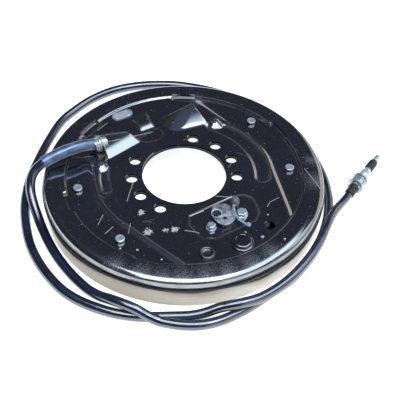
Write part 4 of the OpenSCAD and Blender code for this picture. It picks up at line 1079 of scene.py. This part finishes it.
def makeBleeder():
    spot = bleeder["spot"]
    screw = turned([(3.0, -7), (3.0, 3.8), (4.45, 4.0), (4.6, 4.4), (4.6, 7.0), (4.3, 7.5), (2.6, 7.6),
                    (2.6, 11.2), (2.2, 11.6)], 6)
    settle(stood(softened(screw, 0.2, 1, 40), spot), "bleederScrew", brass, ["bleeder_screw"], 30)
    cap = turned([(4.9, 7.7), (5.4, 8.0), (5.4, 8.7), (4.8, 9.0), (4.5, 9.5), (4.5, 12.2), (4.75, 12.7),
                  (4.5, 13.4), (3.9, 14.5), (2.9, 15.3), (1.5, 15.6)], 40)
    settle(stood(cap, spot), "bleederCap", greyCap, None, 40)
    # the strap: a ribbon section spun round its bend
    cx, cy = bleeder["strapCentre"]
    a = math.radians(bleeder["strapFrom"])
    deselectAll()
    bpy.ops.mesh.primitive_circle_add(vertices=12, radius=1.0 * mm, fill_type="NOTHING",
                                      rotation=(math.pi / 2, 0, a), location=(0, 0, 0))
    strap = bpy.context.object
    bpy.ops.object.transform_apply(rotation=True)
    u = Vector((math.cos(a), math.sin(a), 0))
    for v in strap.data.vertices:
        across = v.co.dot(u)
        v.co = u * across * 1.5 + Vector((0, 0, v.co.z * 0.75)) + Vector((cx, cy, 0)) * mm \
            + u * bleeder["strapRadius"] * mm + Vector((0, 0, 8.8 * mm))
    bpy.ops.object.mode_set(mode="EDIT")
    bpy.ops.mesh.select_all(action="SELECT")
    bpy.ops.mesh.spin(steps=28, angle=-math.radians(bleeder["strapTurn"]), center=(cx * mm, cy * mm, 0),
                      axis=(0, 0, 1))
    bpy.ops.mesh.select_all(action="SELECT")
    bpy.ops.mesh.fill_holes(sides=0)
    bpy.ops.mesh.normals_make_consistent(inside=False)
    bpy.ops.object.mode_set(mode="OBJECT")
    end = a + math.radians(bleeder["strapTurn"])
    ex, ey = cx + bleeder["strapRadius"] * math.cos(end), cy + bleeder["strapRadius"] * math.sin(end)
    knob = turned([(1.8, 7.6), (2.7, 7.9), (3.0, 8.5), (3.0, 9.4), (2.6, 10.2), (1.6, 10.7)], 24)
    whole = joined([strap, stood(knob, (ex, ey, 0))])
    settle(whole, "capStrap", strapPlastic, ["bleeder_cap"], 50)


makeBleeder()


def stadium(length, width, sides=48):
    # a slot outline with round ends, filled
    deselectAll()
    bpy.ops.mesh.primitive_circle_add(vertices=sides, radius=width / 2 * mm, fill_type="NGON")
    obj = bpy.context.object
    for v in obj.data.vertices:
        if abs(v.co.x) > 1e-6:
            v.co.x += math.copysign((length - width) / 2 * mm, v.co.x)
    return obj


plugs = {
    # the slot plug's length and width over its lip and its neck, its place, and the round plug's place
    "lip": (28.5, 12.8), "neck": (25.2, 9.2), "slotSpot": (16.4, -132.2, 0.1), "roundSpot": (42.8, 123, 0),
    # steps of the lip and the sunk face: up and inward
    "steps": ((0.6, 0.0), (1.1, 0.4), (0.4, 0.6), (0.0, 0.9), (-0.6, 0.4), (-0.9, 0.5)),
}


def makePlugs():
    # adjuster slot plug: a pill with a rolled lip and a sunk face
    length, width = plugs["lip"]
    obj = stadium(length, width)
    bpy.ops.object.mode_set(mode="EDIT")
    bpy.ops.mesh.select_all(action="SELECT")
    for up, inward in plugs["steps"]:
        bpy.ops.mesh.extrude_region_move(TRANSFORM_OT_translate={"value": (0, 0, up * mm)})
        if inward:
            bpy.ops.transform.resize(value=(1 - 2 * inward / length, 1 - 2 * inward / width, 1))
    bpy.ops.mesh.select_all(action="SELECT")
    bpy.ops.mesh.normals_make_consistent(inside=False)
    bpy.ops.object.mode_set(mode="OBJECT")
    neck = stood(stadium(*plugs["neck"]), (0, 0, -5))
    bpy.context.view_layer.objects.active = neck
    bpy.ops.object.mode_set(mode="EDIT")
    bpy.ops.mesh.select_all(action="SELECT")
    bpy.ops.mesh.extrude_region_move(TRANSFORM_OT_translate={"value": (0, 0, 5.2 * mm)})
    bpy.ops.mesh.select_all(action="SELECT")
    bpy.ops.mesh.normals_make_consistent(inside=False)
    bpy.ops.object.mode_set(mode="OBJECT")
    whole = joined([obj, neck])
    settle(stood(whole, plugs["slotSpot"]), "slotPlug", greyRubber, ["slot_plug"], 40)
    ring = turned([(6.0, -9), (5.7, -8.6), (5.7, -0.2), (7.8, -0.1), (8.6, 0.1), (9.0, 0.6), (9.0, 1.3),
                   (8.6, 2.1), (7.8, 2.5), (6.9, 2.4), (6.3, 1.9), (5.9, 1.0), (5.4, 0.6), (1.5, 0.5)], 48)
    settle(stood(ring, plugs["roundSpot"]), "platePlug", nylon, ["plate_plug"], 40)


makePlugs()

entry = {"spot": (72, -87, 10.2), "clipTop": 14.0}


def makeCableEntry():
    x, y, z = entry["spot"]
    ferrule = turned([(6.1, -10), (6.4, -9.6), (6.4, -4.3), (8.6, -4.2), (9.6, -4.0), (9.9, -3.6),
                      (9.9, -2.4), (9.6, -1.9), (8.3, -1.7), (8.0, -1.2), (8.3, -0.6), (9.5, -0.3),
                      (9.9, 0.1), (9.9, 1.4), (9.5, 1.9), (8.5, 2.1), (8.0, 2.6), (8.3, 3.0), (9.0, 3.3),
                      (9.0, 4.3), (8.5, 4.8), (7.6, 5.0), (7.4, 6.2), (4.4, 6.2), (4.0, 5.6), (4.0, -9.6),
                      (4.4, -10)], 56, closed=True)
    settle(stood(ferrule, (x, y, z), (1, 0, 0)), "cableFerrule", zinc, ["cable_ferrule"], 30)
    disc = turned([(12.5, -1.7), (13.0, -1.4), (13.0, -0.5), (12.5, -0.2), (8.5, -0.2), (8.2, -0.5),
                   (8.2, -1.4), (8.5, -1.7)], 48, closed=True)
    stood(disc, (x, y, z), (1, 0, 0))
    bpy.context.view_layer.objects.active = disc
    for height, above in ((0.0, False), (entry["clipTop"], True)):
        bpy.ops.object.mode_set(mode="EDIT")
        bpy.ops.mesh.select_all(action="SELECT")
        bpy.ops.mesh.bisect(plane_co=(x * mm, y * mm, height * mm), plane_no=(0, 0, 1), use_fill=True,
                            clear_inner=not above, clear_outer=above)
        bpy.ops.object.mode_set(mode="OBJECT")
    deselectAll()
    bpy.ops.mesh.primitive_cube_add(size=1, location=((x + 2.6) * mm, y * mm, 0.75 * mm),
                                    scale=(9.0 * mm, 25.6 * mm, 1.4 * mm))
    foot = bpy.context.object
    bpy.ops.object.transform_apply(location=True, rotation=True, scale=True)
    softened(foot, 0.4, 2, 40)
    settle(joined([disc, foot]), "ferruleClip", clipZinc, ["ferrule_clip"], 30)


makeCableEntry()


def makeGuideTube():
    half = math.asin((tube["to"] - tube["from"]) / 2 / tube["bow"])
    length = 2 * half * tube["bow"]
    steps = 22
    outer = [(tube["radius"], 1.2 + (length - 2.8) * k / steps) for k in range(steps + 1)]
    inner = [(tube["bore"], length - 2.0 - (length - 3.6) * k / steps) for k in range(steps + 1)]
    obj = turned([(6.9, 0), (7.3, 0.5)] + outer + [(7.55, length - 0.8), (7.35, length - 0.2), (7.0, length),
                                                   (6.6, length - 0.3), (6.4, length - 0.9)] + inner
                 + [(6.5, 0.2)], 40, closed=True)
    middle = (tube["from"] + tube["to"]) / 2
    base = tube["z"] - tube["bow"] * math.cos(half)
    for v in obj.data.vertices:
        a = v.co.z / mm / tube["bow"] - half
        out = tube["bow"] + v.co.x / mm
        v.co = Vector((middle + out * math.sin(a), tube["y"] + v.co.y / mm, base + out * math.cos(a))) * mm
    pickOnly(obj)
    bpy.ops.object.mode_set(mode="EDIT")
    bpy.ops.mesh.select_all(action="SELECT")
    bpy.ops.mesh.normals_make_consistent(inside=False)
    bpy.ops.object.mode_set(mode="OBJECT")
    settle(obj, "guideTube", tubePaint, ["guide_tube"], 40)


makeGuideTube()
print("fittings turned")

springs = {"level": -32.5, "hookTop": -22.2, "coilRadius": 3.55, "wire": 0.95, "anchorY": 130,
           "hook": (92, 72), "adjusterY": -108.5,
           # the short coils: from, to, radius, turns and wire
           "hold": ((0, 0, -33.0), (0, 0, -26.6), 6.4, 3.0, 0.8),
           "strut": ((44.8, 66, -23), (57.2, 66, -23), 6.8, 5, 0.75)}


def coil(start, end, radius, turns, perTurn=12):
    # points of a helix from start to end (mm)
    start, end = Vector(start), Vector(end)
    axis = (end - start).normalized()
    side = axis.orthogonal().normalized()
    up = axis.cross(side)
    count = int(turns * perTurn)
    return [start.lerp(end, k / count) + radius * (math.cos(2 * math.pi * k / perTurn) * side
                                                   + math.sin(2 * math.pi * k / perTurn) * up)
            for k in range(count + 1)]


def wireBody(points, wire, step, sides=8):
    # a round wire along the points, all in mm
    walk = smoothLine([Vector(p) * mm for p in points], step * mm)[0]
    return tubeMesh("wire", walk, [wire * mm] * len(walk), sides)


def makeSprings():
    low, top = springs["level"], springs["hookTop"]
    for name, node, sign, shift in (("primaryReturnSpring", "primary_return_spring", 1, 1.2),
                                    ("secondaryReturnSpring", "secondary_return_spring", -1, -1.2)):
        o = Vector((0, springs["anchorY"], low + shift))
        hook = Vector((sign * springs["hook"][0], springs["hook"][1], low + shift))
        u = (hook - o).normalized()
        run = (hook - o).length
        base = math.atan2(u.y, u.x)
        loop = [o + 10.2 * Vector((math.cos(base + math.radians(a) * sign),
                                   math.sin(base + math.radians(a) * sign), 0))
                for a in range(330, 20, -24)]
        path = loop + [o + u * 14, o + u * 24, o + u * 31]
        path += coil(o + u * 34, o + u * (run - 14), springs["coilRadius"], 18)
        path += [o + u * (run - 11), o + u * (run - 4), hook - u * 1.2, hook + Vector((0, 0, 1.5)),
                 hook + Vector((0, 0, top - low - shift))]
        settle(wireBody(path, springs["wire"], 1.3), name, springPaint, [node], 60)
    y = springs["adjusterY"]
    path = [Vector((-45, y, top)), Vector((-45, y, low + 1.5)), Vector((-43.8, y, low)),
            Vector((-38, y, low))]
    path += coil((-31, y, low), (31, y, low), springs["coilRadius"], 20)
    path += [Vector((38, y, low)), Vector((43.8, y, low)), Vector((45, y, low + 1.5)), Vector((45, y, top))]
    settle(wireBody(path, springs["wire"], 1.3), "adjusterSpring", springPaint, ["adjuster_spring"], 60)
    hold, strut = [wireBody(coil(*springs[key][:4], 16), springs[key][4], 1.4) for key in ("hold", "strut")]
    settle(spread(hold, pinSpots), "holdDownSprings", steel, ["hold_down_springs"], 60)
    settle(strut, "strutSpring", steel, ["strut_spring"], 60, "strut")


adjuster = {
    # place of the middle, the thread's start, end, root, crest and pitch, and the wheel's notches
    "spot": (0, -126, -23), "thread": (-27.4, 10.0, 4.6, 5.25, 1.5), "wheelSides": 80, "notchRadius": 11.6,
}


def makeAdjuster():
    # screw with its rolled thread and the toothed wheel, turned and then notched
    screw = turned([(4.6, -28), (4.9, -27.7)] + threadWalk(*adjuster["thread"])
                   + [(4.4, 10.3), (4.4, 33.4), (3.9, 34)], 36)
    wheel = turned([(4.4, 10.5), (11.8, 10.5), (14, 10.8), (14, 17.2), (11.8, 17.5), (4.4, 17.5)],
                   adjuster["wheelSides"], closed=True)
    step, low = math.radians(360 / adjuster["wheelSides"]), adjuster["notchRadius"] * mm
    for v in wheel.data.vertices:
        r = math.hypot(v.co.x, v.co.y)
        if r > 13 * mm and int(round(math.atan2(v.co.y, v.co.x) / step)) % 4 in (0, 1):
            v.co.x, v.co.y = v.co.x / r * low, v.co.y / r * low
    whole = stood(joined([screw, wheel]), adjuster["spot"], (1, 0, 0))
    settle(whole, "adjusterScrew", steel, ["adjuster_screw"], 30, "star_wheel")


makeSprings()
makeAdjuster()
print("springs wound")

# the doubler's bore wall: dull black, painted shade
paint(hubWall, "hub_doubler")
paint(enamel, "primary_shoe", "secondary_shoe")
paint(zinc, "hold_down_cups", "lever_pivot", "lever_clip", "anchor_clip")
paint(steel, "cylinder_spring", "inner_wire", "primary_push_rod", "secondary_push_rod", "adjuster_nut",
      "adjuster_socket", "parking_lever", "parking_strut", "shoe_guide")
paint(aluminium, "primary_piston", "secondary_piston")
paint(rubber, "primary_cup", "secondary_cup", "primary_boot", "secondary_boot")
paint(casting, "wheel_cylinder")
paint(lining, "primary_lining", "secondary_lining")

room = {
    "floorSize": 6.0, "floorZ": -0.0392, "floorColour": 0.8, "floorGlow": 0.86,
    "skyLow": (0.055, 0.062, 0.095), "skyHigh": (0.15, 0.21, 0.33), "skyFrom": 0.8, "skyTo": 0.97,
    "sideAxis": (-0.838, 0.546, 0.0),
}

windows = [
    # pale windows of the room: from where to where to the left (dark, full, full, dark) and upward
    {"glow": (2.9, 3.5, 4.3), "aside": (0.2, 0.36, 0.62, 0.72), "height": (0.75, 0.82, 0.97, 1.0)},
    {"glow": (0.11, 0.1, 0.095), "aside": (-0.3, -0.38, -0.5, -0.58), "height": (0.7, 0.76, 0.84, 0.9)},
    {"glow": (1.3, 1.22, 1.12), "aside": (0.36, 0.43, 0.9, 1.0), "height": (0.08, 0.17, 0.46, 0.54)},
]


def between(tree, value, steps):
    # rises from 0 at the first step to 1 at the second and falls from the third to 0 at the fourth
    share = None
    for start, end in ((steps[0], steps[1]), (steps[3], steps[2])):
        part = addNode(tree, "MapRange", {"Value": value, "From Min": start, "From Max": end},
                       interpolation_type="SMOOTHSTEP").outputs[0]
        share = part if share is None else addNode(tree, "Math", {0: share, 1: part},
                                                   operation="MULTIPLY").outputs[0]
    return share


def makeFloor():
    deselectAll()
    bpy.ops.mesh.primitive_plane_add(size=room["floorSize"], location=(0, 0, room["floorZ"]))
    obj = bpy.context.object
    obj.name = "studioFloor"
    mat, tree, shader = newMaterial("paleFloor", {"Roughness": 0.9, "Specular IOR Level": 0.0})[:3]
    shader.inputs["Base Color"].default_value = (room["floorColour"],) * 3 + (1.0,)
    rays = addNode(tree, "LightPath")
    seen = strongest(tree, [rays.outputs[name]
                            for name in ("Is Camera Ray", "Is Glossy Ray", "Is Transmission Ray")])
    strength = addNode(tree, "Math", {0: seen, 1: room["floorGlow"]}, operation="MULTIPLY")
    glow = addNode(tree, "Emission", {"Color": (1, 1, 1, 1), "Strength": strength.outputs[0]})
    both = addNode(tree, "AddShader", {0: shader.outputs[0], 1: glow.outputs[0]})
    out = next(n for n in tree.nodes if n.type == "OUTPUT_MATERIAL")
    tree.links.new(both.outputs[0], out.inputs["Surface"])
    obj.data.materials.append(mat)


def makeWorld():
    # a dark room that grows paler overhead, with its windows set in
    world = bpy.data.worlds.new("studioWorld")
    scene.world = world
    world.use_nodes = True
    tree = world.node_tree
    tree.nodes.clear()
    place = addNode(tree, "TexCoord").outputs["Generated"]
    height = addNode(tree, "SeparateXYZ", {0: place}).outputs["Z"]
    high = addNode(tree, "MapRange", {"Value": height, "From Min": room["skyFrom"],
                                      "From Max": room["skyTo"]}, interpolation_type="SMOOTHSTEP")
    sky = addNode(tree, "Mix", {0: high.outputs[0], 6: room["skyLow"] + (1.0,),
                                7: room["skyHigh"] + (1.0,)}, data_type="RGBA").outputs[2]
    aside = addNode(tree, "VectorMath", {0: place, 1: room["sideAxis"]}, operation="DOT_PRODUCT")
    walls = sky
    for window in windows:
        across = between(tree, aside.outputs["Value"], window["aside"])
        tall = between(tree, height, window["height"])
        share = addNode(tree, "Math", {0: across, 1: tall}, operation="MULTIPLY")
        walls = addNode(tree, "Mix", {0: share.outputs[0], 6: walls, 7: window["glow"] + (1.0,)},
                        data_type="RGBA").outputs[2]
    rays = addNode(tree, "LightPath")
    dome = addNode(tree, "Background", {"Color": walls, "Strength": 1.0})
    plain = addNode(tree, "Background", {"Color": (1, 1, 1, 1), "Strength": 1.0})
    mix = addNode(tree, "MixShader", {0: rays.outputs["Is Camera Ray"], 1: dome.outputs[0],
                                      2: plain.outputs[0]})
    addNode(tree, "OutputWorld", {"Surface": mix.outputs[0]})


lamps = {
    # place and size in metres, power in watts and colour; both look at the middle
    "topSoftbox": ((0.22, 0.36, 1.5), (1.2, 1.1), 20, (0.82, 0.9, 1.0)),
    "fillSoftbox": ((-1.3, 0.5, 1.2), (0.7, 0.7), 3, (0.85, 0.93, 1.0)),
}


def makeLamp(name, place, size, power, colour):
    data = bpy.data.lights.new(name, "AREA")
    data.shape = "RECTANGLE"
    data.size, data.size_y = size
    data.energy = power
    data.color = colour
    obj = bpy.data.objects.new(name, data)
    obj.location = place
    obj.rotation_euler = (-Vector(place)).to_track_quat("-Z", "Y").to_euler()
    scene.collection.objects.link(obj)


makeFloor()
makeWorld()
for name, settings in lamps.items():
    makeLamp(name, *settings)
print("room lit")
